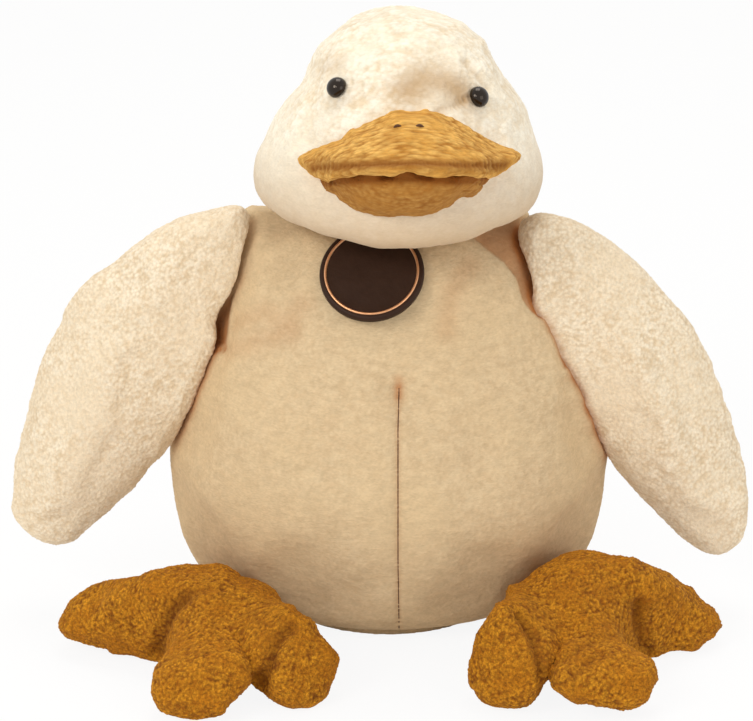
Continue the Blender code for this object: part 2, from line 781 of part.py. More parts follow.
def build():
    """Make every piece of the duck."""
    clear_scene()
    parts = make_collection("plush_duck")
    cutters = make_collection("cutters")

    cream = make_material("cream_plush", (0.86, 0.68, 0.47), 0.95)
    ivory = make_material("ivory_plush", (0.90, 0.80, 0.65), 0.95)
    nubby = make_material("nubby_plush", (0.88, 0.69, 0.50), 0.97)
    mustard = make_material("mustard_plush", (0.50, 0.22, 0.03), 0.95)
    fibre = make_material("stuffing_fibre", (0.85, 0.85, 0.83), 1.0)
    calico = make_material("pellet_calico", (0.70, 0.65, 0.55), 0.9)
    gloss = make_material("eye_black", (0.01, 0.008, 0.006), 0.08)
    nylon = make_material("washer_nylon", (0.75, 0.75, 0.72), 0.5)
    leather = make_material("medallion_brown", (0.035, 0.018, 0.010), 0.45)
    copper = make_material("ring_copper", (0.72, 0.36, 0.17), 0.35, 0.9)
    steel = make_material("stud_metal", (0.45, 0.40, 0.32), 0.4, 1.0)
    thread = make_material("brown_thread", (0.25, 0.12, 0.05), 0.8)

    neck_place = Vector((0, 0, NECK_HEIGHT))
    neck_pivot = add_pivot("neck_pivot", neck_place, parts)
    floor = add_cutter("floor", floor_mesh("floor"), cutters)
    body_envelope = make_envelope("body_envelope", body_mesh("body_envelope"), cutters)
    head_envelope = make_envelope("head_envelope", head_mesh("head_envelope"), cutters)
    socket_radius = NECK_RADIUS * facet_growth(BALL_SEGMENTS, BALL_RINGS) + GAP
    socket_ball = ball_mesh("neck_socket", socket_radius, neck_place)
    neck_socket = add_cutter("neck_socket", socket_ball, cutters)

    # Body: cover, base panel, stuffing and pellet bag
    body, body_fill = make_sewn_form(
        "body", body_mesh, (parts, cream, fibre, None), (neck_socket, floor)
    )
    base = add_object("base_panel", body_mesh("base_panel"), parts, cream)
    subdivide(base)
    hollow(base, PLUSH_THICKNESS)
    base_core = cylinder_mesh("base_core", BASE_PANEL_RADIUS, -OVERRUN, OVERRUN)
    base_hole = cylinder_mesh("base_hole", BASE_PANEL_RADIUS + GAP, -OVERRUN, OVERRUN)
    boolean(base, add_cutter("base_core", base_core, cutters), "INTERSECT")
    boolean(base, floor)
    body_base_hole = add_cutter("base_hole", base_hole, cutters)
    boolean(body, body_base_hole)

    bag_floor = Vector((0, 0, PLUSH_THICKNESS - FLOOR_TRIM + GAP))
    bag_sizes = (bag_floor, BAG_HEIGHT, BAG_RADIUS, BAG_RADIUS, BAG_RADIUS)
    bag_rings = upright_rings(BAG_RING_shares, *bag_sizes)
    bag_top = bag_floor + Vector((0, 0, BAG_HEIGHT))
    bag_mesh = ring_mesh("pellet_bag", bag_floor, bag_rings, bag_top, BODY_SEGMENTS)
    bag = add_object("pellet_bag", bag_mesh, parts, calico)
    subdivide(bag)
    bag_envelope = make_envelope(
        "bag_envelope",
        ring_mesh("bag_envelope", bag_floor, bag_rings, bag_top, BODY_SEGMENTS),
        cutters,
    )
    boolean(body_fill, bag_envelope)
    well_radius = BAG_RADIUS * BAG_WELL_RADIUS_share
    well = cylinder_mesh("bag_well", well_radius, -OVERRUN, BAG_HEIGHT / 2)
    boolean(body_fill, add_cutter("bag_well", well, cutters))

    # Neck: a ball of stuffing between the body and the head
    neck_ball = ball_mesh("neck_stuffing", NECK_RADIUS, neck_place)
    add_object("neck_stuffing", neck_ball, parts, fibre, neck_pivot)

    # Head, beak, eyes
    head, head_fill = make_sewn_form(
        "head", head_mesh, (parts, ivory, fibre, neck_pivot), (neck_socket,)
    )

    def upper_beak(name):
        return beak_mesh(name, UPPER_BEAK_RING_shares, UPPER_BEAK_REACH, UPPER_BEAK_HEIGHT)

    def lower_beak(name):
        return beak_mesh(name, LOWER_BEAK_RING_shares, LOWER_BEAK_REACH, LOWER_BEAK_HEIGHT)

    upper_envelope = make_envelope(
        "upper_beak_envelope", upper_beak("upper_beak_envelope"), cutters
    )
    upper, upper_fill = make_sewn_form(
        "beak_upper", upper_beak, (parts, mustard, fibre, neck_pivot), (head_envelope,)
    )
    make_sewn_form(
        "beak_lower",
        lower_beak,
        (parts, mustard, fibre, neck_pivot),
        (head_envelope, upper_envelope),
    )
    for word, side in (("left", 1), ("right", -1)):
        stitch, groove = make_nostril(
            f"nostril_{word}", side, upper_envelope, parts, cutters, thread, neck_pivot
        )
        boolean(upper, groove)
        boolean(upper_fill, groove)

    for word, side, offset in (("left", 1, LEFT_EYE_OFFSET), ("right", -1, RIGHT_EYE_OFFSET)):
        start = Vector(
            (
                BEAK_ASIDE + side * EYE_SPACING / 2,
                -HEAD_FORWARD - HEAD_FRONT - OVERRUN,
                EYE_HEIGHT + offset,
            )
        )
        frame = surface_frame(head_envelope, start, Vector((0, 1, 0)))
        frame = frame @ Matrix.Translation((0, 0, -GAP))
        make_eye(f"eye_{word}", frame, parts, gloss, neck_pivot)
        make_washer(f"eye_washer_{word}", frame, EYE_SHANK_RADIUS, parts, nylon, neck_pivot)
        hole = make_pocket(
            f"eye_hole_{word}", frame, EYE_SHANK_RADIUS, 2 * PLUSH_THICKNESS, cutters
        )
        boolean(head, hole)
        pocket = make_pocket(
            f"eye_pocket_{word}", frame, WASHER_RADIUS, EYE_SHANK_LENGTH + GAP, cutters
        )
        boolean(head_fill, pocket)

    # Wings, each on a hinge at its shoulder
    wings = (
        ("left", 1, LEFT_WING_HANG, LEFT_WING_BREADTH, LEFT_WING_STATION_shares),
        ("right", -1, RIGHT_WING_HANG, RIGHT_WING_BREADTH, RIGHT_WING_STATION_shares),
    )
    for word, side, hang, breadth, stations in wings:
        place = Vector((side * SHOULDER_ASIDE, -SHOULDER_FORWARD, SHOULDER_HEIGHT))
        pivot = add_pivot(f"wing_{word}_pivot", place, parts)
        make_sewn_form(
            f"wing_{word}",
            lambda name, form=(side, hang, breadth, stations): wing_mesh(name, *form),
            (parts, nubby, fibre, pivot),
            (body_envelope,),
        )

    # Feet, each on a hinge at its ankle
    feet = (
        ("left", 1, LEFT_FOOT_ASIDE, LEFT_FOOT_TURN),
        ("right", -1, RIGHT_FOOT_ASIDE, RIGHT_FOOT_TURN),
    )
    for word, side, aside, spin in feet:
        place = Vector((side * aside, -ANKLE_FORWARD, ANKLE_HEIGHT))
        pivot = add_pivot(f"foot_{word}_pivot", place, parts)
        make_sewn_form(
            f"foot_{word}",
            lambda name, side=side, aside=aside, spin=spin: foot_mesh(name, side, aside, spin),
            (parts, mustard, fibre, pivot),
            (body_envelope, floor),
        )

    # Tail
    make_sewn_form("tail", tail_mesh, (parts, cream, fibre, None), (body_envelope,))

    # Medallion and belly seam
    start = Vector((-MEDALLION_ASIDE, -BODY_FRONT - OVERRUN, MEDALLION_HEIGHT))
    chest = surface_frame(body_envelope, start, Vector((0, 1, 0)))
    chest = chest @ Matrix.Translation((0, 0, -GAP))
    make_medallion(chest, parts, cutters, leather, copper, steel)
    stud_hole = make_pocket("stud_hole", chest, STUD_RADIUS, 2 * PLUSH_THICKNESS, cutters)
    boolean(body, stud_hole)
    stud_pocket = make_pocket("stud_pocket", chest, WASHER_RADIUS, STUD_LENGTH + GAP, cutters)
    boolean(body_fill, stud_pocket)
    make_belly_seam(body_envelope, parts, thread)


build()
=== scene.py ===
# %% [markdown]
# A seated plush duck. The working frame gives the sewn covers, the stuffing, the joints and the hard
# pieces at their real size. This script gives them their looks: each stuffed cover becomes one puffed
# skin with seams, creases and a raised pile, and the eyes, the medallion and the threads are modelled
# again in finer detail.

# %% Load the frame
import math

import bmesh
import bpy
import numpy as np
from mathutils import Matrix, Vector
from mathutils.bvhtree import BVHTree


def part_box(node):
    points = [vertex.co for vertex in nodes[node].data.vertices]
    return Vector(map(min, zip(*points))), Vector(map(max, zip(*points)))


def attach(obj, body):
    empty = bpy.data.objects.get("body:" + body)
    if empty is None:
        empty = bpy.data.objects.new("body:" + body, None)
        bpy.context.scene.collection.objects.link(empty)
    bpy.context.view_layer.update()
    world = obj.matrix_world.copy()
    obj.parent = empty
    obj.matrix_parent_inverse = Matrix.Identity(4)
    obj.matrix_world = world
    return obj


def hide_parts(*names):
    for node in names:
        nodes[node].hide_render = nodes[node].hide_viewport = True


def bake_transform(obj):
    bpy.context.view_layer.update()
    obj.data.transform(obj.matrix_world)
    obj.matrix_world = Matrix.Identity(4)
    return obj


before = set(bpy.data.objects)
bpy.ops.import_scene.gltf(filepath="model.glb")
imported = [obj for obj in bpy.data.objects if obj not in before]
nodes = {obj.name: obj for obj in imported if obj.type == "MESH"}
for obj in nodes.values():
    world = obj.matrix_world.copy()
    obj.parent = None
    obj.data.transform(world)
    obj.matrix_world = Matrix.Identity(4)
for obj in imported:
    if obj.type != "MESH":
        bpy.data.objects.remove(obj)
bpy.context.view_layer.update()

MM = 0.001

# %% [markdown]
# The camera comes first, because several creases are placed by where they show in the photograph. It
# looks down at the duck from the front at about 20 degrees. The focal length is kept in pixels of the
# photograph, and turned into millimetres of lens for Blender's 36 mm sensor.

# %% Camera
IMAGE_WIDTH = 753
IMAGE_HEIGHT = 721
FOCAL_PIXELS = 3111
SENSOR_MM = 36
VIEW_DISTANCE = 1.4
VIEW_ELEVATION = math.radians(20)
VIEW_TARGET = Vector((-0.0052, 0, 0.112))

towards_duck = Vector((0, math.cos(VIEW_ELEVATION), -math.sin(VIEW_ELEVATION)))
eye_point = VIEW_TARGET - towards_duck * VIEW_DISTANCE
bpy.ops.object.camera_add(location=eye_point, rotation=(math.pi / 2 - VIEW_ELEVATION, 0, 0))
camera = bpy.context.object
camera.name = "photo_camera"
camera.data.sensor_width = SENSOR_MM
camera.data.lens = FOCAL_PIXELS / IMAGE_WIDTH * SENSOR_MM
camera.data.clip_end = 20
bpy.context.scene.camera = camera
print("camera lens", round(camera.data.lens, 1), "mm at", [round(c, 3) for c in eye_point])


def photo_ray(column, row):
    """The direction in which a pixel of the photograph looks."""
    across = (column - IMAGE_WIDTH / 2) / FOCAL_PIXELS
    down = (row - IMAGE_HEIGHT / 2) / FOCAL_PIXELS
    return (camera.rotation_euler.to_matrix() @ Vector((across, -down, -1))).normalized()


# %% [markdown]
# Studio light: a wide soft lamp in front on the photograph's left, a weaker and lower one on its
# right, one overhead a little behind the duck, and a small one for the glint in the eyes. Round them
# all is a pale surround. What the camera, a gloss or a glass sees of it is plain white, whatever its
# level is as a light. Small helpers set up shader nodes by the names of their inputs.

# %% Surround and lamps
scene = bpy.context.scene
scene.view_settings.view_transform = "Standard"
WHITE = (1, 1, 1, 1)
SURROUND_COLOUR = (1.0, 0.985, 0.96, 1)
SURROUND_LEVEL = 0.62
LAMPS = (
    ("key_lamp", (-0.95, -1.12, 1.05), 0.60, 9.0, (1.0, 0.98, 0.94)),
    ("fill_lamp", (1.05, -1.15, 0.50), 0.90, 4.2, (1.0, 0.97, 0.93)),
    ("top_lamp", (0.05, 0.35, 1.55), 0.80, 8.2, (1.0, 0.99, 0.97)),
    ("eye_light", (-0.42, -1.25, 0.95), 0.20, 1.2, (1.0, 1.0, 1.0)),
)


def set_up(node, **settings):
    """Set a shader node's options and its inputs by name, with _ for each space."""
    for key, value in settings.items():
        socket = key.replace("_", " ")
        if socket in node.inputs:
            node.inputs[socket].default_value = value
        else:
            setattr(node, key, value)
    return node


def new_node(tree, kind, **settings):
    """Add a shader node and set it up."""
    return set_up(tree.nodes.new(kind), **settings)


def new_finish(name, **looks):
    """A new material, its node tree and its shader, set up."""
    material = bpy.data.materials.new(name)
    material.use_nodes = True
    tree = material.node_tree
    return material, tree, set_up(tree.nodes["Principled BSDF"], **looks)


def seen_directly(tree):
    """1 for what the camera, a mirror or a glass sees of the background, and 0 for what lights."""
    path = new_node(tree, "ShaderNodeLightPath")
    camera_or_gloss = new_node(tree, "ShaderNodeMath", operation="MAXIMUM")
    or_glass = new_node(tree, "ShaderNodeMath", operation="MAXIMUM")
    tree.links.new(path.outputs["Is Camera Ray"], camera_or_gloss.inputs[0])
    tree.links.new(path.outputs["Is Glossy Ray"], camera_or_gloss.inputs[1])
    tree.links.new(camera_or_gloss.outputs[0], or_glass.inputs[0])
    tree.links.new(path.outputs["Is Transmission Ray"], or_glass.inputs[1])
    return or_glass.outputs[0]


world = bpy.data.worlds.new("surround")
scene.world = world
world.use_nodes = True
air = world.node_tree
lighting = set_up(air.nodes["Background"], Color=SURROUND_COLOUR, Strength=SURROUND_LEVEL)
white = new_node(air, "ShaderNodeBackground", Color=WHITE, Strength=1.0)
either = new_node(air, "ShaderNodeMixShader")
air.links.new(seen_directly(air), either.inputs[0])
air.links.new(lighting.outputs[0], either.inputs[1])
air.links.new(white.outputs[0], either.inputs[2])
air.links.new(either.outputs[0], air.nodes["World Output"].inputs["Surface"])

for lamp_name, lamp_place, lamp_size, lamp_power, lamp_colour in LAMPS:
    bpy.ops.object.light_add(type="AREA", location=lamp_place)
    lamp = bpy.context.object
    lamp.name = lamp_name
    lamp.data.size = lamp_size
    lamp.data.energy = lamp_power
    lamp.data.color = lamp_colour
    lamp.rotation_euler = (VIEW_TARGET - lamp.location).to_track_quat("-Z", "Y").to_euler()
print("surround at", SURROUND_LEVEL, "with", len(LAMPS), "lamps")

# %% [markdown]
# The floor is plain and pale. Seen by the camera it is nearly white, yet it keeps the duck's soft
# shadow, because only part of its brightness is its own.

# %% Floor
FLOOR_COLOUR = (0.93, 0.92, 0.90, 1)
FLOOR_OWN_LIGHT = 0.90
bpy.ops.mesh.primitive_plane_add(size=8, location=(0, 0, 0))
floor = bpy.context.object
floor.name = "floor"
paint, ground, matt = new_finish("pale_floor", Base_Color=FLOOR_COLOUR, Roughness=0.9)
own_light = new_node(ground, "ShaderNodeEmission", Color=WHITE, Strength=1.0)
share = new_node(ground, "ShaderNodeMath", operation="MULTIPLY")
share.inputs[1].default_value = FLOOR_OWN_LIGHT
lit_floor = new_node(ground, "ShaderNodeMixShader")
ground.links.new(seen_directly(ground), share.inputs[0])
ground.links.new(share.outputs[0], lit_floor.inputs[0])
ground.links.new(matt.outputs[0], lit_floor.inputs[1])
ground.links.new(own_light.outputs[0], lit_floor.inputs[2])
ground.links.new(lit_floor.outputs[0], ground.nodes["Material Output"].inputs["Surface"])
floor.data.materials.append(paint)
print("floor", [round(side) for side in floor.dimensions], "metres")

# %% [markdown]
# Plush is a knitted cloth with a dense pile. Its colour is never flat: the pile's tips catch the light,
# its roots lie in shade, and brushing leaves broad patches. So each plush material paints light and
# shade into the pile, by mixing a lit colour for the tips and a shaded, warmer colour for the roots by
# how far the modelled pile stands out, adds patches and single fibres from noise, and paints shade into
# the creases. How far the pile stands out and where the painted shade lies are stored on the mesh as
# two attributes, "pile" and "shade", which the pieces below write.

# %% Plush material
PATCH_NOISE = (0.42, 0.66)
PATCH_SHARE = 0.75
SPECKLE_NOISE = (0.7, 1.3)


def noise(tree, place, size, detail, roughness):
    """Noise with grains of a given size."""
    grains = new_node(tree, "ShaderNodeTexNoise", Scale=1 / size, Detail=detail, Roughness=roughness)
    tree.links.new(place, grains.inputs["Vector"])
    return grains.outputs["Fac"]


def stretched(tree, value, old, new):
    """Stretch a value from an old range to a new one."""
    ends = {"From_Min": old[0], "From_Max": old[1], "To_Min": new[0], "To_Max": new[1]}
    stretch = new_node(tree, "ShaderNodeMapRange", **ends)
    tree.links.new(value, stretch.inputs["Value"])
    return stretch.outputs["Result"]


def mixed(tree, amount, *colours):
    """Mix two colours by an amount. Each one is a colour itself or another node's output."""
    mix = new_node(tree, "ShaderNodeMix", data_type="RGBA")
    tree.links.new(amount, mix.inputs[0])
    for socket, colour in zip(mix.inputs[6:8], colours):
        if isinstance(colour, tuple):
            socket.default_value = (*colour, 1)
        else:
            tree.links.new(colour, socket)
    return mix.outputs[2]


def plush(name, lit_tip, shaded_root, patch, shade, contrast, patch_size=0.030, fibre_size=0.0007,
          knot_size=0.0028, lie=(1, 1, 1), sheen=0.25, bump=0.35):
    """A pile fabric: painted light on the tips, painted shade at the roots and in creases, patches,
    fibres lying one way.
    """
    material, tree, shader = new_finish(
        name, Roughness=0.92, Specular_IOR_Level=0.25,
        Sheen_Weight=sheen, Sheen_Roughness=0.55, Sheen_Tint=(*lit_tip, 1),
    )
    link = tree.links.new
    place = new_node(tree, "ShaderNodeTexCoord").outputs["Object"]
    combing = new_node(tree, "ShaderNodeMapping", Scale=lie)
    link(place, combing.inputs["Vector"])
    combed = combing.outputs["Vector"]
    pile = new_node(tree, "ShaderNodeAttribute", attribute_name="pile").outputs["Fac"]
    valley = new_node(tree, "ShaderNodeAttribute", attribute_name="shade").outputs["Fac"]
    patches = noise(tree, place, patch_size, detail=3.0, roughness=0.55)
    fibres = noise(tree, combed, fibre_size, detail=2.0, roughness=0.6)
    clumps = noise(tree, combed, knot_size, detail=2.0, roughness=0.5)

    amount = stretched(tree, patches, PATCH_NOISE, (0, PATCH_SHARE))
    # Painted light and shade: the lit colour of the tips and the shaded colour of the roots mix by pile
    # height.
    mottled = mixed(tree, amount, mixed(tree, pile, shaded_root, lit_tip), patch)
    speckle = new_node(tree, "ShaderNodeMath", operation="ADD")
    link(fibres, speckle.inputs[0])
    link(clumps, speckle.inputs[1])
    speckled = new_node(tree, "ShaderNodeHueSaturation")
    lightness = stretched(tree, speckle.outputs[0], SPECKLE_NOISE, (1 - contrast, 1 + contrast))
    link(lightness, speckled.inputs["Value"])
    link(mottled, speckled.inputs["Color"])
    # Painted shade: where the "shade" attribute is high, the colour of painted shade is mixed in.
    link(mixed(tree, valley, speckled.outputs["Color"], shade), shader.inputs["Base Color"])

    fuzz = new_node(tree, "ShaderNodeBump", Strength=bump, Distance=fibre_size)
    link(speckle.outputs[0], fuzz.inputs["Height"])
    link(fuzz.outputs["Normal"], shader.inputs["Normal"])
    return material


# Painted shade: the creases of the cream and the nubby plush darken to this warm brown.
CREASE_PAINTED_SHADE = (0.42, 0.15, 0.038)
# Each plush below has a lit colour for its tips and a shaded colour for its roots, as painted light and
# shade.
CREAM = plush(
    "cream_plush", lit_tip=(0.68, 0.52, 0.32), shaded_root=(0.60, 0.44, 0.26), patch=(0.65, 0.485, 0.285),
    shade=CREASE_PAINTED_SHADE, contrast=0.09, patch_size=0.045, lie=(0.45, 0.45, 1),
)
NUBBY = plush(
    "nubby_plush", lit_tip=(0.89, 0.78, 0.61), shaded_root=(0.70, 0.54, 0.35), patch=(0.82, 0.68, 0.49),
    shade=CREASE_PAINTED_SHADE, contrast=0.12, fibre_size=0.0005, knot_size=0.0014, bump=0.5,
)
IVORY = plush(
    "ivory_plush", lit_tip=(0.93, 0.87, 0.74), shaded_root=(0.76, 0.62, 0.43), patch=(0.88, 0.79, 0.63),
    shade=(0.48, 0.30, 0.14), contrast=0.08, lie=(0.45, 0.45, 1),
)
MUSTARD = plush(
    "mustard_plush", lit_tip=(0.59, 0.250, 0.012), shaded_root=(0.21, 0.062, 0.002), patch=(0.39, 0.138, 0.004),
    shade=(0.11, 0.026, 0.002), contrast=0.48, patch_size=0.014, fibre_size=0.0005, knot_size=0.0012,
    sheen=0.03, bump=0.7,
)
BEAK_GOLD = plush(
    "beak_plush", lit_tip=(0.79, 0.465, 0.125), shaded_root=(0.37, 0.150, 0.020), patch=(0.64, 0.320, 0.060),
    shade=(0.24, 0.080, 0.010), contrast=0.20, patch_size=0.012, fibre_size=0.0006, knot_size=0.0017,
    lie=(0.30, 1, 1), sheen=0.12, bump=0.5,
)
print("plush finishes", [m.name for m in (CREAM, NUBBY, IVORY, MUSTARD, BEAK_GOLD)])

# %% [markdown]
# The hard and the hidden pieces need finishes too: glossy black for the eyes, a satin brown with faint
# wear for the medallion, satin copper for its ring, twisted thread, and plain nylon and steel for
# what is sewn up inside. Each one is a Principled shader whose colour wavers with noise.

# %% Hard and hidden finishes
def waver(name, dark, light, size, roughness, metallic=0.0, ior=1.45, bump=0.0, tint=(1, 1, 1)):
    """A finish whose colour and surface waver between two tones over a given size."""
    material, tree, shader = new_finish(
        name, Roughness=roughness, Metallic=metallic, IOR=ior, Specular_Tint=(*tint, 1)
    )
    place = new_node(tree, "ShaderNodeTexCoord").outputs["Object"]
    grain = noise(tree, place, size, detail=4.0, roughness=0.6)
    relief = new_node(tree, "ShaderNodeBump", Strength=bump, Distance=size)
    tree.links.new(mixed(tree, grain, dark, light), shader.inputs["Base Color"])
    tree.links.new(grain, relief.inputs["Height"])
    tree.links.new(relief.outputs["Normal"], shader.inputs["Normal"])
    return material


EYE_BLACK = waver(
    "eye_black", dark=(0.004, 0.003, 0.003), light=(0.014, 0.009, 0.006), size=0.004,
    roughness=0.05, ior=1.42, tint=(1, 0.85, 0.72),
)
BROWN = waver(
    "medallion_brown", dark=(0.026, 0.011, 0.006), light=(0.042, 0.020, 0.012), size=0.006,
    roughness=0.45, ior=1.22, bump=0.06,
)
COPPER = waver(
    "ring_copper", dark=(0.62, 0.28, 0.12), light=(0.84, 0.46, 0.25), size=0.002,
    roughness=0.32, metallic=0.75,
)
THREAD = waver(
    "brown_thread", dark=(0.05, 0.018, 0.006), light=(0.14, 0.06, 0.025), size=0.0006,
    roughness=0.8, bump=0.3,
)
NYLON = waver(
    "washer_nylon", dark=(0.68, 0.68, 0.65), light=(0.80, 0.80, 0.77), size=0.002,
    roughness=0.5, bump=0.1,
)
STEEL = waver(
    "stud_metal", dark=(0.35, 0.31, 0.25), light=(0.52, 0.47, 0.38), size=0.001,
    roughness=0.4, metallic=1.0,
)

for node_name, finish in (
    ("eye_washer_left", NYLON),
    ("eye_washer_right", NYLON),
    ("medallion_stud", STEEL),
    ("medallion_washer", STEEL),
):
    nodes[node_name].data.materials.clear()
    nodes[node_name].data.materials.append(finish)
print("finishes on the frame's own pieces: washers and stud")

# %% [markdown]
# Blender keeps a mesh's vertices in its own store. To sculpt thousands of them at once, these helpers
# read them as arrays of numbers, change the arrays and write them back. `spread` averages each vertex
# with its neighbours, which is how a smoothing brush works.

# %% Reading and writing a skin
def only(piece):
    """Select one object and nothing else."""
    bpy.ops.object.select_all(action="DESELECT")
    piece.select_set(True)
    bpy.context.view_layer.objects.active = piece


def points_of(mesh):
    """Every vertex's place, one row each."""
    flat = np.empty(len(mesh.vertices) * 3)
    mesh.vertices.foreach_get("co", flat)
    return flat.reshape(-1, 3)


def set_points(mesh, points):
    """Move every vertex to its new place."""
    mesh.vertices.foreach_set("co", np.asarray(points, np.float32).ravel())
    mesh.update()


def outward(mesh):
    """Every vertex's outward direction, one row each."""
    flat = np.empty(len(mesh.vertices) * 3)
    mesh.vertices.foreach_get("normal", flat)
    return flat.reshape(-1, 3)


def spread(mesh, values, rounds):
    """Average each vertex's values with its neighbours' several times over."""
    ends = np.empty(len(mesh.edges) * 2, int)
    mesh.edges.foreach_get("vertices", ends)
    a, b = ends.reshape(-1, 2).T
    total = len(values)
    count = np.bincount(np.concatenate((a, b)), minlength=total)
    for _ in range(rounds):
        around = [
            np.bincount(a, values[b, k], total) + np.bincount(b, values[a, k], total)
            for k in range(values.shape[1])
        ]
        values = (values + np.stack(around, 1) / count[:, None]) / 2
    return values


def shade_in(piece, name, values):
    """Add to one of the two attributes that the plush materials read."""
    mesh = piece.data
    layer = mesh.attributes.get(name) or mesh.attributes.new(name, "FLOAT", "POINT")
    held = np.zeros(len(mesh.vertices), np.float32)
    layer.data.foreach_get("value", held)
    layer.data.foreach_set("value", np.clip(held + values, 0, 1).astype(np.float32))


# %% [markdown]
# A stuffed form starts from the frame's own cover and stuffing. Copies of the two are joined, and a
# voxel remesh wraps them in one even skin of small squares. The frame's covers have flat facets, as
# working models do, so the skin is evened out over a reach wider than a facet. Plain smoothing would
# shrink it, so what was lost is smoothed as well and added back. Then the skin is fitted a few times
# to the cover's own outer corners: each point follows the corners near it, and where there is none,
# those further off.

# %% Skins round the stuffed forms
MERGE_DISTANCE = 0.00001
INNER_SHARE = 0.2
FIT_ROUNDS = 3
FIT_CHUNKS = 8
FIT_NEAR = 1.3
FIT_WIDE = 5
FIT_WIDE_SHARE = 1e-6


def edit_all(operator, **settings):
    """In edit mode, run one operator on all of the active piece."""
    bpy.ops.object.mode_set(mode="EDIT")
    bpy.ops.mesh.select_all(action="SELECT")
    operator(**settings)
    bpy.ops.object.mode_set(mode="OBJECT")


def remeshed(piece, voxel):
    """Wrap the active piece in one even skin of small squares."""
    skin = piece.modifiers.new("skin", "REMESH")
    skin.mode = "VOXEL"
    skin.voxel_size = voxel
    bpy.ops.object.modifier_apply(modifier=skin.name)


def outermost_shell(piece):
    """Keep the skin that starts at the piece's lowest point, and drop hollows inside it."""
    shell = bmesh.new()
    shell.from_mesh(piece.data)
    reached = {min(shell.verts, key=lambda vert: vert.co.z)}
    edge_of_search = list(reached)
    while edge_of_search:
        vert = edge_of_search.pop()
        for edge in vert.link_edges:
            other = edge.other_vert(vert)
            if other not in reached:
                reached.add(other)
                edge_of_search.append(other)
    hidden = [vert for vert in shell.verts if vert not in reached]
    bmesh.ops.delete(shell, geom=hidden, context="VERTS")
    shell.to_mesh(piece.data)
    shell.free()


def outer_corners(piece, node_name, voxel):
    """The corners of a frame's cover that lie on the outside of the wrapped skin."""
    tree = BVHTree.FromObject(piece, bpy.context.evaluated_depsgraph_get())
    found = []
    for corner in np.unique(points_of(nodes[node_name].data).round(5), axis=0):
        place, normal, _, _ = tree.find_nearest(Vector(corner))
        if (Vector(corner) - place).dot(normal) > -INNER_SHARE * voxel:
            found.append(corner)
    return np.array(found)


def meet(piece, corners, reach):
    """Move the skin so that it passes through the corners, evenly in between."""
    mesh = piece.data
    points = points_of(mesh)
    normal = outward(mesh)
    tree = BVHTree.FromObject(piece, bpy.context.evaluated_depsgraph_get())
    gaps = []
    for corner in corners:
        place, facing_way, _, _ = tree.find_nearest(Vector(corner))
        gaps.append((Vector(corner) - place).dot(facing_way))
    gaps = np.array(gaps)
    move = np.zeros(len(points))
    for chunk in np.array_split(np.arange(len(points)), FIT_CHUNKS):
        away = ((points[chunk, None] - corners[None]) ** 2).sum(2)
        near = np.exp(-away / (reach * FIT_NEAR) ** 2)
        wide = np.exp(-away / (reach * FIT_WIDE) ** 2)
        weight = near + FIT_WIDE_SHARE * wide
        move[chunk] = (weight * gaps).sum(1) / (weight.sum(1) + 1e-12)
    set_points(mesh, points + normal * move[:, None])


def wrapped(name, covered, voxel, reach):
    """One closed skin round copies of the frame's nodes, evened out over a reach."""
    copies = []
    for node_name in covered:
        copy = nodes[node_name].copy()
        copy.data = copy.data.copy()
        copy.parent = None
        for key in list(copy.keys()):
            del copy[key]
        scene.collection.objects.link(copy)
        copies.append(copy)
    only(copies[0])
    for copy in copies:
        copy.select_set(True)
    bpy.ops.object.join()
    piece = bpy.context.object
    piece.name = name
    piece.data.name = name
    piece.data.materials.clear()
    edit_all(bpy.ops.mesh.remove_doubles, threshold=MERGE_DISTANCE)
    remeshed(piece, voxel)
    outermost_shell(piece)
    corners = outer_corners(piece, covered[0], voxel)
    # Averages spread over the square root of their rounds, so a reach needs its square in rounds.
    rounds = round(4 * (reach / voxel) ** 2)
    start = points_of(piece.data)
    even = spread(piece.data, start, rounds)
    even += spread(piece.data, start - even, rounds)
    set_points(piece.data, even)
    for _ in range(FIT_ROUNDS):
        meet(piece, corners, reach)
    print(name, len(piece.data.vertices), "points on", len(corners), "corners")
    return piece


# %% [markdown]
# Padded fabric swells between its seams. The cloth simulation shows this by itself: the skin is given
# a little slack and an inner pressure, its seam points are pinned, and it runs for a few frames. It
# starts from a slightly smaller shape, and no point may move further than a set distance, so that the
# duck keeps its size. The modifier is then applied and the skin subdivided for the pile.

# %% Puffing by simulation
PUFF_FRAMES = 16
EVEN_ROUNDS = 5


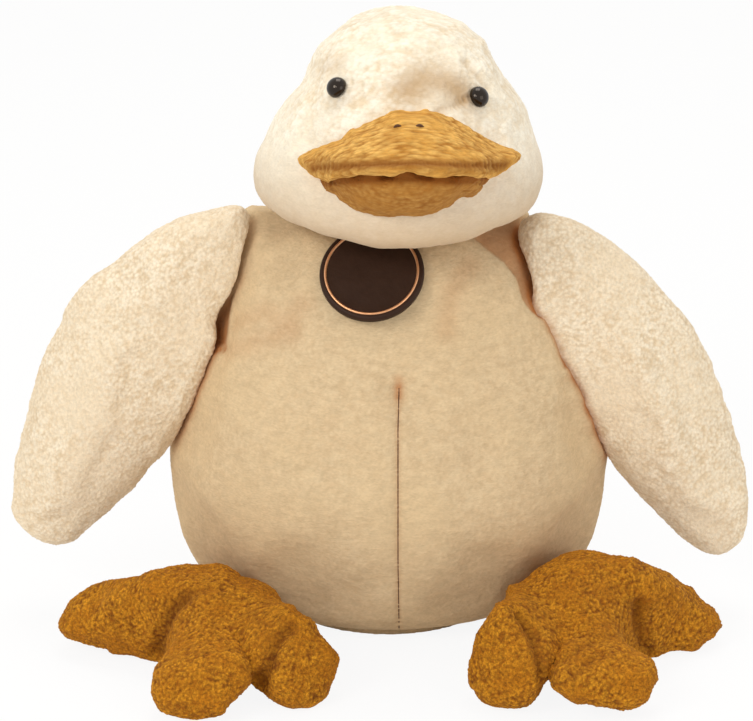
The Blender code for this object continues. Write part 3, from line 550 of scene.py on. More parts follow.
def puffed(piece, pinned, pressure, slack, most, sink):
    """Swell the skin between its pinned points, within a limit."""
    mesh = piece.data
    set_points(mesh, points_of(mesh) - outward(mesh) * sink)
    start = points_of(mesh)
    seam = piece.vertex_groups.new(name="seam")
    seam.add([int(i) for i in np.flatnonzero(pinned(start, outward(mesh)))], 1.0, "REPLACE")
    cloth = piece.modifiers.new("stuffing", "CLOTH")
    cloth.settings.quality = 4
    cloth.settings.mass = 0.2
    cloth.settings.tension_stiffness = 12
    cloth.settings.compression_stiffness = 12
    cloth.settings.shear_stiffness = 4
    cloth.settings.bending_stiffness = 0.3
    cloth.settings.use_pressure = True
    cloth.settings.uniform_pressure_force = pressure
    cloth.settings.shrink_min = -slack
    cloth.settings.vertex_group_mass = seam.name
    cloth.settings.effector_weights.gravity = 0
    cloth.collision_settings.use_collision = False
    cloth.point_cache.frame_start = 1
    cloth.point_cache.frame_end = PUFF_FRAMES
    for step in range(1, PUFF_FRAMES + 1):
        scene.frame_set(step)
    only(piece)
    bpy.ops.object.modifier_apply(modifier=cloth.name)
    piece.vertex_groups.clear()
    scene.frame_set(1)
    move = points_of(mesh) - start
    move = spread(mesh, np.nan_to_num(move), EVEN_ROUNDS)
    far = np.linalg.norm(move, axis=1)
    limit = most * np.tanh(far / most) / np.maximum(far, 1e-9)
    set_points(mesh, start + move * limit[:, None])
    print(piece.name, "swelled", round(float(far.mean()) / MM, 2), "mm on average before the limit")


def refined(piece, levels):
    """Divide each square of the skin, rounded, and shade it smooth."""
    only(piece)
    fine = piece.modifiers.new("fine", "SUBSURF")
    fine.levels = levels
    fine.render_levels = levels
    bpy.ops.object.modifier_apply(modifier=fine.name)
    bpy.ops.object.shade_smooth()


# %% [markdown]
# Creases, seams and dimples are pressed in with one sculpting move. It takes a path on the skin and
# pushes what lies near it inwards, most along the path and less to its sides. A negative depth raises
# a welt. Where a crease is known from the photograph, its path is given in the photograph's pixels and
# found on the skin by looking along the camera's rays. Each move fades softly to its sides, and is
# over at three times its reach.

# %% Pressing creases
FADED = 3
MOST_GAPS = 4000000
PRESS_ROUNDS = 2


def seen_on(piece, pixels, pace=4.0):
    """The points of a skin under a line through the given pixels of the photograph."""
    tree = BVHTree.FromObject(piece, bpy.context.evaluated_depsgraph_get())
    found = []
    for (x0, y0), (x1, y1) in zip(pixels, pixels[1:]):
        steps = max(1, round(math.hypot(x1 - x0, y1 - y0) / pace))
        for i in range(steps + 1):
            column = x0 + (x1 - x0) * i / steps
            row = y0 + (y1 - y0) * i / steps
            place, _, _, _ = tree.ray_cast(eye_point, photo_ray(column, row))
            if place is not None:
                found.append(place)
    return found


def sewn_shade(piece, neighbours, reach, amount):
    """Paint shade on the skin where it comes close to a neighbour, darkest in a sewn valley."""
    points = points_of(piece.data)
    away = np.full(len(points), np.inf)
    for neighbour in neighbours:
        tree = BVHTree.FromObject(neighbour, bpy.context.evaluated_depsgraph_get())
        other = points_of(neighbour.data)
        near = ((points > other.min(0) - FADED * reach) & (points < other.max(0) + FADED * reach)).all(1)
        for i in np.flatnonzero(near):
            found = tree.find_nearest(points[i].tolist(), FADED * reach)
            if found[0] is not None:
                away[i] = min(away[i], found[3])
    shade_in(piece, "shade", amount * np.exp(-((away / reach) ** 2)))


def press(piece, path, width, depth, shade=0.0, shade_width=None):
    """Push the skin in along a path, and paint shade there."""
    mesh = piece.data
    points = points_of(mesh)
    line = np.array(path)
    reach = FADED * max(width, shade_width or 0)
    close = ((points > line.min(0) - reach) & (points < line.max(0) + reach)).all(1)
    index = np.flatnonzero(close)
    away = np.full(len(points), np.inf)
    for chunk in np.array_split(index, max(1, len(index) * len(line) // MOST_GAPS)):
        gaps = np.linalg.norm(points[chunk, None] - line[None], axis=2)
        away[chunk] = gaps.min(1)
    fall = np.exp(-((away / width) ** 2))
    points -= spread(mesh, outward(mesh), PRESS_ROUNDS) * (fall * depth)[:, None]
    set_points(mesh, points)
    if shade:
        shade_in(piece, "shade", shade * np.exp(-((away / (shade_width or width)) ** 2)))


def crease(piece, pixels, **how):
    """Press in a crease whose path is given in the photograph's pixels."""
    press(piece, seen_on(piece, pixels), **how)


# %% [markdown]
# Two more moves work the way a sculptor does with the photograph beside them. `grabbed` is a grab
# brush: places on the skin, given by the pixel where they show now, are pulled to the pixel where the
# photograph shows them, and what lies around follows softly. A pull is four numbers, the column and
# row where it starts and those where it ends. One that ends where it starts holds the skin still.
# `sunk` presses a whole patch of skin in, inside an outline, for a hollow with a crisp edge.

# %% Pulling and sinking as the camera sees it
SUNK_ROUNDS = 4


def seen_at(points):
    """The pixel of the photograph at which each point shows, and its depth."""
    turn_back = np.array(camera.rotation_euler.to_matrix())
    local = (points - np.array(eye_point)) @ turn_back
    depth = -local[:, 2]
    columns = IMAGE_WIDTH / 2 + local[:, 0] / depth * FOCAL_PIXELS
    rows = IMAGE_HEIGHT / 2 - local[:, 1] / depth * FOCAL_PIXELS
    return np.stack((columns, rows), 1), depth


def grabbed(piece, pulls, reach, forward=0.0):
    """Pull the skin from pixel to pixel, square to the camera's view, and a share of that forward."""
    points = points_of(piece.data)
    pixels, depth = seen_at(points)
    moves = np.zeros((len(points), 2))
    total = np.zeros(len(points))
    for x0, y0, x1, y1 in pulls:
        away = np.hypot(pixels[:, 0] - x0, pixels[:, 1] - y0)
        weight = np.exp(-((away / reach) ** 2))
        moves += weight[:, None] * np.array((x1 - x0, y1 - y0))
        total += weight
    moves /= np.maximum(total, 1.0)[:, None]
    axes = np.array(camera.rotation_euler.to_matrix())
    scale = (depth / FOCAL_PIXELS)[:, None]
    nearer = forward * np.linalg.norm(moves, axis=1, keepdims=True)
    points += (moves[:, :1] * axes[:, 0] - moves[:, 1:] * axes[:, 1] + nearer * axes[:, 2]) * scale
    set_points(piece.data, points)
    print(piece.name, "pulled up to", round(float(np.abs(moves).max()), 1), "pixels")


def inside(pixels, outline, soft):
    """How far inside an outline each pixel lies, from 0 at its edge to 1 at a soft width within."""
    corners = np.array(outline, float)
    within = np.zeros(len(pixels), bool)
    edge = np.full(len(pixels), np.inf)
    for a, b in zip(corners, np.roll(corners, -1, 0)):
        side = b - a
        along = np.clip(((pixels - a) @ side) / (side @ side), 0, 1)
        edge = np.minimum(edge, np.linalg.norm(pixels - a - along[:, None] * side, axis=1))
        crosses = (a[1] > pixels[:, 1]) != (b[1] > pixels[:, 1])
        rise = b[1] - a[1] if b[1] != a[1] else 1.0
        within ^= crosses & (pixels[:, 0] < a[0] + (pixels[:, 1] - a[1]) * side[0] / rise)
    return np.where(within, np.clip(edge / soft, 0, 1), 0.0)


def sunk(piece, outline, soft, depth, shade):
    """Sink the patch of skin that shows inside an outline, and paint shade on it."""
    points = points_of(piece.data)
    normal = outward(piece.data)
    pixels, _ = seen_at(points)
    faces_camera = (normal * (np.array(eye_point) - points)).sum(1) > 0
    amount = inside(pixels, outline, soft) * faces_camera
    amount = amount * amount * (3 - 2 * amount)  # a smooth step, level at both ends
    set_points(piece.data, points - spread(piece.data, normal, SUNK_ROUNDS) * (amount * depth)[:, None])
    shade_in(piece, "shade", shade * amount)


# %% [markdown]
# The pile itself is modelled, not only painted. A Displace modifier with a cell texture raises small
# rounded nubs, and one with clouds makes them uneven. How far each point moved is kept as the "pile"
# attribute, so that the material can paint shade at the roots and light on the tips. A helper empty
# stretches the textures, which lays the pile along one direction.

# %% Raising the pile
PILE_PERCENTS = (4, 96)


def raise_pile(piece, nub, height, tuft, tuft_height, stretch=(1, 1, 1), keep=None):
    """Raise nubs and tufts on the skin and store how far each point stands out."""
    mesh = piece.data
    guide = bpy.data.objects.new("pile_guide", None)
    guide.scale = stretch
    scene.collection.objects.link(guide)
    bpy.context.view_layer.update()
    cells = bpy.data.textures.new(f"{piece.name}_nubs", "VORONOI")
    cells.noise_scale = nub
    cells.weight_1 = 1.0
    cells.noise_intensity = 1.0
    clouds = bpy.data.textures.new(f"{piece.name}_tufts", "CLOUDS")
    clouds.noise_scale = tuft
    clouds.noise_depth = 2
    for texture, strength in ((cells, -height), (clouds, tuft_height)):
        bump = piece.modifiers.new(texture.name, "DISPLACE")
        bump.texture = texture
        bump.texture_coords = "OBJECT"
        bump.texture_coords_object = guide
        bump.mid_level = 0.5
        bump.strength = strength
    start = points_of(mesh)
    normal = outward(mesh)
    finished = piece.evaluated_get(bpy.context.evaluated_depsgraph_get()).to_mesh()
    move = ((points_of(finished) - start) * normal).sum(1)
    piece.modifiers.clear()
    bpy.data.objects.remove(guide)
    bpy.data.textures.remove(cells)
    bpy.data.textures.remove(clouds)
    low, high = np.percentile(move, PILE_PERCENTS)
    share_out = (move - low) / max(high - low, 1e-9)
    amount = np.ones(len(start)) if keep is None else np.clip(keep(start, normal), 0, 1)
    set_points(mesh, start + normal * ((move - high / 2) * amount)[:, None])
    shade_in(piece, "pile", 1 - (1 - np.clip(share_out, 0, 1)) * amount)
    print(piece.name, "pile from", round(low / MM, 2), "to", round(high / MM, 2), "mm")


def dress(piece, material, slot_name, body, *replaced, fill=None):
    """Give a finished piece its material and its body, if any, and hide the nodes it replaces. The fill
    is not used.
    """
    piece.data.materials.clear()
    piece.data.materials.append(material)
    if body:
        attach(piece, body)
    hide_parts(*replaced)
    triangles = sum(len(face.vertices) - 2 for face in piece.data.polygons)
    print(piece.name, triangles, "triangles on", body or "two bodies, bent between them")


# %% [markdown]
# The body is a pear-shaped bag of cream plush. It has a belly seam with a dart above it, a hollow by
# the left wing's shoulder, a raised band further down that wing with a fold beside it that is only
# painted shade, a notch by the right wing, and soft wrinkles on the chest. Left and right are the
# duck's own, so its left wing is on the photograph's right. Where each form shows is measured in pixels
# of the photograph.

# %% The body's forms, in pixels
BELLY_SEAM_PIXELS = ((399, 388), (398, 430), (398, 500), (398, 560), (399, 628))
DART_PIXELS = ((399, 380), (399, 396))
SHOULDER_PULLS_PIXELS = (
    (243, 231, 247, 204), (256, 220, 256, 203), (269, 212, 268, 205), (520, 221, 526, 206),
    (541, 332, 541, 332), (550, 348, 553, 349), (557, 368, 564, 370), (571, 393, 580, 394),
    (582, 420, 590, 421), (591, 446, 598, 446), (525, 310, 527, 310), (505, 300, 505, 300),
)
HOLLOW_OUTLINE_PIXELS = (
    (468, 236), (486, 251), (503, 264), (515, 279), (521, 300), (530, 313), (540, 321), (564, 318),
    (560, 225), (520, 210), (480, 220),
)
LEFT_BAND_PIXELS = (
    (566, 364), (572, 370), (584, 395), (594, 419), (602, 444), (607, 458), (597, 457), (588, 440),
    (580, 420), (570, 398), (562, 384), (558, 370),
)
LEFT_FOLD_SHADE_PIXELS = ((566, 366), (574, 378), (582, 394), (588, 409), (594, 428), (599, 445))
NOTCH_OUTLINE_PIXELS = (
    (239, 284), (234, 300), (231, 318), (229, 335), (226, 350), (205, 350), (205, 320), (222, 292),
)
NOTCH_FOOT_PIXELS = ((210, 350), (216, 350), (222, 349))
CHEST_WRINKLES_PIXELS = (
    ((234, 322), (262, 312), (286, 320), (302, 304)),
    ((226, 350), (240, 346), (262, 340), (292, 334)),
    ((470, 262), (452, 292), (446, 330)),
)
print("body", len(SHOULDER_PULLS_PIXELS), "pulls,", len(CHEST_WRINKLES_PIXELS), "wrinkles")

# %% [markdown]
# The cover's seams run down the front, the back and both sides, and it is gathered at the neck and
# sewn to a round base panel. These lines are held still while it puffs. The shoulders are pulled into
# their outline after that, and then come the creases and the hollows, pressed in and painted with
# shade, and the pile.

# %% Body
NECK_MARGIN = 0.008
BELLY_SEAM_ASIDE = 0.004
BELLY_SEAM_TOP = 0.131
BASE_SEAM_TOP = 0.012
SEAM_HALF = 0.0030
SEAT_LEVEL = 0.070
SEAT_PAINTED_SHADE = 0.05
neck_low, neck_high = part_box("neck_stuffing")
neck_centre = (neck_low + neck_high) / 2
neck_radius = (neck_high.x - neck_low.x) / 2


def body_seams(points, normals):
    """Where the body's cover is sewn: front, back, sides, neck and base."""
    x, y, z = points.T
    front = (abs(x - BELLY_SEAM_ASIDE) < SEAM_HALF) & (y < 0) & (z < BELLY_SEAM_TOP)
    back = (abs(x) < SEAM_HALF) & (y > 0)
    sides = abs(y) < SEAM_HALF
    neck = np.linalg.norm(points - np.array(neck_centre), axis=1) < neck_radius + NECK_MARGIN
    return front | back | sides | neck | (z < BASE_SEAM_TOP)


body = wrapped("body_plush", ("body_cover", "body_stuffing", "pellet_bag"), voxel=0.0040, reach=0.0115)
puffed(body, body_seams, pressure=2.5, slack=0.04, most=0.0030, sink=0.0012)
refined(body, 2)
grabbed(body, SHOULDER_PULLS_PIXELS, reach=14.0)
# Painted shade: the belly seam, the dart, the hollow, the notch and the wrinkles are darkened as well as
# pressed in, and the left fold is painted shade alone.
crease(body, BELLY_SEAM_PIXELS, width=0.0020, depth=0.0012, shade=0.42, shade_width=0.0010)
crease(body, DART_PIXELS, width=0.0050, depth=0.0020, shade=0.45, shade_width=0.0020)
sunk(body, HOLLOW_OUTLINE_PIXELS, soft=8.0, depth=0.0025, shade=0.60)
sunk(body, LEFT_BAND_PIXELS, soft=5.0, depth=-0.0014, shade=0.0)
crease(body, LEFT_FOLD_SHADE_PIXELS, width=0.0060, depth=0.0, shade=0.26, shade_width=0.0040)
sunk(body, NOTCH_OUTLINE_PIXELS, soft=9.0, depth=0.0026, shade=0.80)
crease(body, NOTCH_FOOT_PIXELS, width=0.0014, depth=0.0010, shade=0.60, shade_width=0.0016)
for wrinkle in CHEST_WRINKLES_PIXELS:
    crease(body, wrinkle, width=0.0050, depth=0.0013, shade=0.20, shade_width=0.0050)
# Painted shade: the body darkens a little towards the seat.
shade_in(body, "shade", SEAT_PAINTED_SHADE * np.clip(1 - points_of(body.data)[:, 2] / SEAT_LEVEL, 0, 1))
raise_pile(body, nub=0.0019, height=0.00035, tuft=0.0060, tuft_height=0.0003)
dress(body, CREAM, "cream_plush", "body", "body_cover", "body_stuffing", "pellet_bag", fill=0.85)

# %% [markdown]
# The head is the same kind of bag in paler plush: narrow on top, with wide jowls. A fold runs from the
# beak past the left eye, with a hollow beside it, and a faint one lies by the right eye. All three are
# painted with shade as well as pressed in.

# %% The head's forms, in pixels
BROW_FOLD_PIXELS = ((440, 111), (456, 105), (471, 98), (486, 88), (478, 74), (466, 62))
BROW_HOLLOW_PIXELS = ((408, 88), (425, 78), (444, 80), (458, 88))
RIGHT_BROW_PIXELS = ((322, 66), (334, 64))
HEAD_PULLS_PIXELS = (
    (299, 60, 307, 60), (290, 80, 297, 80), (280, 100, 286, 100), (272, 115, 277, 115),
    (264, 136, 268, 136), (257, 150, 260, 150), (522, 100, 518, 100), (531, 122, 527, 122),
    (537, 136, 534, 136), (380, 241, 380, 245), (420, 243, 420, 247), (460, 238, 460, 241),
    (345, 40, 345, 40), (338, 87, 338, 87), (479, 97, 479, 97), (255, 175, 255, 175),
    (541, 175, 541, 175),
)
CROWN_PULLS_PIXELS = (
    (337, 24, 343, 24), (321, 38, 327, 38), (457, 24, 464, 24), (475, 38, 481, 38), (303, 66, 307, 66),
    (293, 80, 298, 80), (284, 94, 288, 94), (276, 108, 280, 108), (270, 122, 274, 122),
    (264, 136, 268, 136), (508, 80, 505, 80), (513, 94, 517, 94), (520, 108, 523, 108),
)
print("head", len(HEAD_PULLS_PIXELS) + len(CROWN_PULLS_PIXELS), "pulls")

# %% [markdown]
# Two gusset seams run over the crown. The eyes are drawn in on their shanks, which dimples the plush
# round them, so the skin is held there too while it puffs, and the dimples are painted with shade. The
# pile is long and fluffy on the crown and short on the chin, and the jowls and the chin are painted with
# more shade towards the neck.

# %% Head
GUSSET_ASIDE = 0.030
GUSSET_HALF = 0.002
GUSSET_BOTTOM = 0.225
EYE_HELD = 0.011
JOWL_TOP = 0.226
CHIN_LEVEL = 0.182
JOWL_PAINTED_SHADE = 0.95
LEAST_PILE = 0.30
SHORT_PILE_TOP = 0.215
PILE_RISE = 0.030
head_low, head_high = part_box("head_cover")
eye_places = []
for word in ("left", "right"):
    eye_low, eye_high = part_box(f"eye_{word}")
    eye_places.append(Vector(((eye_low.x + eye_high.x) / 2, eye_low.y, (eye_low.z + eye_high.z) / 2)))


def head_seams(points, normals):
    """Where the head's cover is held: two gusset lines over the crown, the neck and the eyes."""
    x = points[:, 0] - (head_low.x + head_high.x) / 2
    gusset = abs(abs(x) - GUSSET_ASIDE) < GUSSET_HALF
    held = np.linalg.norm(points - np.array(neck_centre), axis=1) < neck_radius + NECK_MARGIN
    for place in eye_places:
        held |= np.linalg.norm(points - np.array(place), axis=1) < EYE_HELD
    return (gusset & (points[:, 2] > GUSSET_BOTTOM)) | held


def crown_pile(points, normals):
    """Full pile on the crown, little on the chin and jowls."""
    return LEAST_PILE + (1 - LEAST_PILE) * np.clip((points[:, 2] - SHORT_PILE_TOP) / PILE_RISE, 0, 1)


head = wrapped("head_plush", ("head_cover", "head_stuffing"), voxel=0.0031, reach=0.0080)
puffed(head, head_seams, pressure=2.0, slack=0.03, most=0.0020, sink=0.0003)
refined(head, 2)
grabbed(head, HEAD_PULLS_PIXELS, reach=22.0)
grabbed(head, CROWN_PULLS_PIXELS, reach=14.0)
# Painted shade: the dimples round the eyes, the fold and the hollows by the eyes are darkened.
for place in eye_places:
    press(head, [place], width=0.0070, depth=0.0010, shade=0.25, shade_width=0.0060)
crease(head, BROW_FOLD_PIXELS, width=0.0022, depth=0.0012, shade=0.30, shade_width=0.0018)
crease(head, BROW_HOLLOW_PIXELS, width=0.0080, depth=0.0012, shade=0.75, shade_width=0.0085)
crease(head, RIGHT_BROW_PIXELS, width=0.0050, depth=0.0006, shade=0.34, shade_width=0.0060)
# Painted shade: the jowls and the chin darken towards the neck.
head_heights = points_of(head.data)[:, 2]
shade_in(head, "shade", JOWL_PAINTED_SHADE * np.clip((JOWL_TOP - head_heights) / (JOWL_TOP - CHIN_LEVEL), 0, 1))
raise_pile(head, nub=0.0022, height=0.0006, tuft=0.0060, tuft_height=0.0009, keep=crown_pile)
dress(head, IVORY, "ivory_plush", "head", "head_cover", "head_stuffing", fill=0.9)

# %% [markdown]
# The beak is two flat cushions of mustard plush, one above the mouth and one below. One list of pulls
# shapes them both, and each has a finer list of its own. The upper cushion has a thick rolled lip
# that hangs over the mouth, with a groove above its edge.

# %% The beak's forms, in pixels
BEAK_PULLS_PIXELS = (
    (300, 156, 298, 162), (311, 167, 315, 180), (340, 128, 340, 137), (365, 117, 362, 124),
    (380, 112, 383, 115), (413, 107, 413, 111), (460, 119, 460, 122), (480, 128, 480, 134),
    (497, 137, 497, 145), (514, 157, 520, 157), (511, 166, 504, 176), (411, 180, 406, 173),
    (360, 178, 360, 175), (460, 178, 460, 178), (309, 175, 319, 184), (507, 175, 497, 179),
    (340, 204, 340, 200), (370, 214, 370, 213), (407, 219, 405, 216), (440, 217, 440, 212),
    (470, 210, 470, 200),
)
UPPER_LIP_PULLS_PIXELS = (
    (322, 137, 322, 145), (335, 135, 336, 139), (310, 145, 308, 150), (516, 158, 521, 156),
    (301, 163, 298, 160), (350, 133, 350, 131), (334, 175, 334, 180), (350, 175, 350, 179),
    (480, 174, 480, 178), (495, 173, 493, 176), (379, 178, 380, 176), (404, 173, 408, 172),
    (457, 178, 452, 177),
)
LOWER_LIP_PULLS_PIXELS = (
    (340, 185, 340, 178), (370, 184, 370, 176), (405, 184, 405, 175), (440, 184, 440, 176),
    (470, 184, 470, 177), (316, 186, 321, 182), (324, 195, 332, 193), (344, 203, 346, 202),
    (500, 178, 490, 178), (499, 190, 485, 186), (490, 197, 475, 194), (480, 200, 466, 199),
    (466, 205, 456, 204), (452, 210, 448, 208),
)
LIP_ROLL_SHADE_PIXELS = (
    (308, 164), (330, 166), (355, 166), (380, 165), (405, 164), (440, 165), (470, 167), (505, 164),
)
LIP_GROOVE_PIXELS = ((312, 169), (340, 166), (370, 164), (405, 162), (440, 163), (470, 165), (506, 166))
LIP_EDGE_PIXELS = ((318, 176), (340, 174), (370, 171), (405, 169), (440, 171), (470, 173), (500, 172))
MOUTH_PIXELS = ((322, 184), (350, 180), (380, 178), (405, 177), (430, 178), (460, 181), (494, 180))
print("beak", sum(map(len, (BEAK_PULLS_PIXELS, UPPER_LIP_PULLS_PIXELS, LOWER_LIP_PULLS_PIXELS))), "pulls")

# %% [markdown]
# The beak is small and firmly stuffed, so its cushions aren't puffed by simulation. Their pile lies
# sideways, so the textures that raise it are stretched across the face.

# %% Beak
LOWER_BEAK_SHADE = 0.62
upper_beak = wrapped(
    "beak_upper_plush", ("beak_upper_cover", "beak_upper_stuffing"), voxel=0.0020, reach=0.0038
)
refined(upper_beak, 2)
grabbed(upper_beak, BEAK_PULLS_PIXELS, reach=15.0)
grabbed(upper_beak, UPPER_LIP_PULLS_PIXELS, reach=9.0)
# Painted shade: the rolled lip and the groove above its edge are darkened.
crease(upper_beak, LIP_ROLL_SHADE_PIXELS, width=0.0040, depth=0.0, shade=0.42)
crease(upper_beak, LIP_GROOVE_PIXELS, width=0.0013, depth=0.0008, shade=0.55, shade_width=0.0022)
crease(upper_beak, LIP_EDGE_PIXELS, width=0.0013, depth=-0.0006)
raise_pile(upper_beak, nub=0.0017, height=0.0006, tuft=0.0034, tuft_height=0.0006, stretch=(3.2, 1, 0.9))
dress(upper_beak, BEAK_GOLD, "mustard_plush", "head", "beak_upper_cover", "beak_upper_stuffing", fill=0.8)

lower_beak = wrapped(
    "beak_lower_plush", ("beak_lower_cover", "beak_lower_stuffing"), voxel=0.0020, reach=0.0034
)
refined(lower_beak, 2)
grabbed(lower_beak, BEAK_PULLS_PIXELS, reach=15.0)
grabbed(lower_beak, LOWER_LIP_PULLS_PIXELS, reach=11.0)
# Painted shade: the mouth line is darkened, and the whole lower cushion, which lies under the upper one.
crease(lower_beak, MOUTH_PIXELS, width=0.0012, depth=0.0004, shade=0.60, shade_width=0.0022)
shade_in(lower_beak, "shade", np.full(len(lower_beak.data.vertices), LOWER_BEAK_SHADE))
raise_pile(lower_beak, nub=0.0016, height=0.0004, tuft=0.0030, tuft_height=0.0003, stretch=(1.5, 1, 1))
dress(lower_beak, BEAK_GOLD, "mustard_plush", "head", "beak_lower_cover", "beak_lower_stuffing", fill=0.8)

# %% [markdown]
# A wing is two long panels sewn round their edge, stuffed softly and sewn to the shoulder. The pulls
# go round each wing's outline in the photograph.

# %% The wings' outlines, in pixels
WING_PULLS_PIXELS = {
    "right": (
        (227, 222, 231, 205), (213, 215, 213, 207), (200, 214, 196, 215), (242, 231, 251, 205),
        (247, 238, 252, 217), (248, 246, 247, 232), (244, 262, 243, 252), (235, 281, 238, 278),
        (227, 296, 231, 294), (218, 319, 217, 319), (214, 331, 216, 330), (207, 344, 219, 343),
        (205, 350, 216, 350), (198, 364, 208, 364), (191, 378, 203, 378), (186, 393, 197, 393),
        (182, 404, 192, 404), (176, 424, 182, 424), (170, 440, 176, 440), (167, 448, 165, 456),
        (96, 276, 89, 276), (83, 290, 75, 290), (71, 304, 66, 304), (28, 388, 30, 388),
        (20, 416, 24, 416), (15, 444, 18, 444), (12, 480, 12, 480), (18, 514, 12, 515),
        (29, 528, 23, 531), (45, 537, 43, 543), (70, 538, 66, 542), (98, 528, 90, 528),
        (115, 514, 107, 514), (127, 500, 123, 500), (139, 486, 139, 486),
    ),
    "left": (
        (526, 243, 518, 240), (529, 254, 526, 256), (536, 279, 532, 279), (545, 300, 532, 300),
        (553, 316, 531, 314), (557, 325, 530, 325), (564, 342, 537, 341), (571, 361, 550, 360),
        (577, 373, 562, 372), (582, 386, 571, 386), (588, 400, 579, 399), (593, 414, 586, 413),
        (600, 440, 598, 440), (605, 459, 607, 459), (533, 230, 516, 224), (540, 225, 525, 211),
        (550, 221, 544, 213), (566, 220, 562, 217), (580, 224, 583, 222), (596, 234, 600, 233),
        (615, 248, 618, 246), (631, 262, 638, 262), (645, 276, 651, 275), (658, 290, 661, 289),
        (669, 304, 675, 303), (680, 318, 687, 317), (689, 332, 697, 331), (697, 346, 703, 345),
        (705, 360, 711, 359), (717, 388, 722, 387), (727, 416, 732, 415), (735, 444, 740, 443),
        (740, 472, 745, 471), (741, 500, 748, 500), (739, 514, 746, 516), (735, 528, 744, 530),
        (722, 542, 739, 545), (700, 548, 716, 556), (677, 542, 690, 545), (660, 528, 672, 530),
        (647, 514, 656, 515), (635, 500, 641, 500), (624, 486, 627, 486),
    ),
}
print("wing pulls", {word: len(pulls) for word, pulls in WING_PULLS_PIXELS.items()})

# %% [markdown]
# The edge seam is held still while a wing puffs. Its plush is the nubby kind, with knots of pile about
# 1.5 mm apart. The root is sewn to the shoulder.

# %% Wings
EDGE_FACING = 0.10


def wing_seams(points, normals):
    """The seam round the wing's edge, where the skin faces neither front nor back."""
    return abs(normals[:, 1]) < EDGE_FACING


for word, outwards in (("left", 1), ("right", -1)):
    covered = (f"wing_{word}_cover", f"wing_{word}_stuffing")
    wing = wrapped(f"wing_{word}_plush", covered, voxel=0.0021, reach=0.0052)
    puffed(wing, wing_seams, pressure=2.5, slack=0.05, most=0.0018, sink=0.0008)
    refined(wing, 2)
    grabbed(wing, WING_PULLS_PIXELS[word], reach=15.0, forward=0.3)
    raise_pile(wing, nub=0.0015, height=0.0005, tuft=0.0040, tuft_height=0.0004)
    dress(wing, NUBBY, "nubby_plush", None, *covered, fill=0.7)
    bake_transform(wing)

# %% [markdown]
# Each foot is a padded star of mustard plush with three fat toes. Between the toes the cover is drawn
# into valleys. A first list of pulls sets the outline, and a finer one the toes.

# %% The feet's forms, in pixels
FOOT_PULLS_PIXELS = {
    "right": (
        (172, 565, 168, 569), (205, 558, 202, 565), (240, 566, 234, 574), (262, 590, 267, 587),
        (265, 605, 280, 597), (290, 617, 301, 614), (325, 640, 330, 643), (330, 662, 338, 661),
        (327, 685, 333, 686), (305, 705, 308, 708), (250, 688, 259, 683), (152, 680, 153, 679),
        (215, 718, 213, 717), (240, 700, 232, 702), (57, 620, 58, 622), (155, 660, 155, 660),
    ),
    "left": (
        (570, 559, 574, 552), (590, 559, 592, 551), (615, 562, 615, 555), (640, 583, 640, 563),
        (660, 585, 663, 571), (680, 586, 684, 585), (723, 615, 722, 618), (720, 630, 716, 634),
        (700, 645, 691, 649), (650, 655, 656, 656), (655, 685, 656, 681), (645, 715, 644, 711),
        (600, 720, 608, 715), (570, 705, 573, 699), (558, 690, 549, 680), (490, 705, 490, 706),
        (470, 690, 470, 684), (485, 630, 478, 628), (505, 620, 493, 604), (522, 610, 510, 590),
        (530, 580, 527, 577), (545, 567, 545, 566),
    ),
}
TOE_PULLS_PIXELS = {
    "right": (
        (164, 570, 164, 568), (146, 577, 146, 570), (128, 584, 128, 575), (110, 587, 110, 579),
        (90, 592, 90, 586), (75, 598, 70, 597), (58, 640, 63, 638), (75, 648, 80, 643),
        (94, 654, 104, 650), (125, 658, 130, 656), (156, 668, 153, 668), (154, 696, 151, 696),
        (163, 710, 158, 710), (251, 686, 254, 684), (246, 696, 241, 697), (235, 707, 230, 707),
        (310, 620, 316, 622), (335, 650, 340, 654), (325, 697, 328, 702), (307, 706, 312, 709),
        (284, 706, 290, 710), (271, 591, 277, 592), (284, 606, 292, 603), (229, 574, 232, 572),
    ),
    "left": (
        (512, 590, 507, 590), (508, 598, 500, 599), (705, 594, 703, 600), (683, 579, 684, 584),
        (720, 610, 722, 616), (624, 561, 622, 557), (690, 648, 696, 651), (621, 717, 622, 712),
        (605, 716, 606, 709), (587, 713, 589, 705), (562, 697, 561, 693), (642, 706, 647, 703),
        (645, 657, 654, 658), (653, 679, 658, 674), (476, 683, 470, 683), (491, 701, 483, 701),
        (468, 663, 468, 663), (536, 669, 541, 668), (530, 650, 535, 648),
    ),
}
FOOT_FULLNESS_PIXELS = {
    "right": (((232, 640), (240, 664)), ((118, 604), (150, 592))),
    "left": (((566, 656), (560, 672)), ((668, 600), (648, 590))),
}
FOOT_VALLEYS_PIXELS = {
    "right": (
        ((156, 655), (160, 634), (166, 618), (173, 606), (183, 597)),
        ((260, 682), (267, 664), (273, 648), (280, 636), (289, 627)),
    ),
    "left": (
        ((654, 656), (647, 645), (640, 626), (640, 606)),
        ((545, 676), (541, 654), (534, 632), (523, 615)),
    ),
}
FOOT_WRINKLES_PIXELS = {
    "right": (((192, 594), (205, 588), (222, 588)),),
    "left": (((555, 664), (582, 646), (612, 634)), ((574, 673), (601, 653))),
}
FOOT_DOME_PIXELS = {
    "right": ((185, 590), (215, 600), (240, 615)),
    "left": ((560, 590), (585, 590), (612, 595)),
}
print("foot pulls", {word: len(pulls) for word, pulls in FOOT_PULLS_PIXELS.items()})

# %% [markdown]
# The seam round a foot's edge and its sole are held still while it puffs. The sole is flat where it
# stands on the floor, so it has hardly any pile, and nothing of it may lie below the floor.

# %% Feet
EDGE_SLOPE = 0.08
SOLE_SEAM_TOP = 0.003
SOLE_TOP = 0.0006
SOLE_PILE_RISE = 0.004


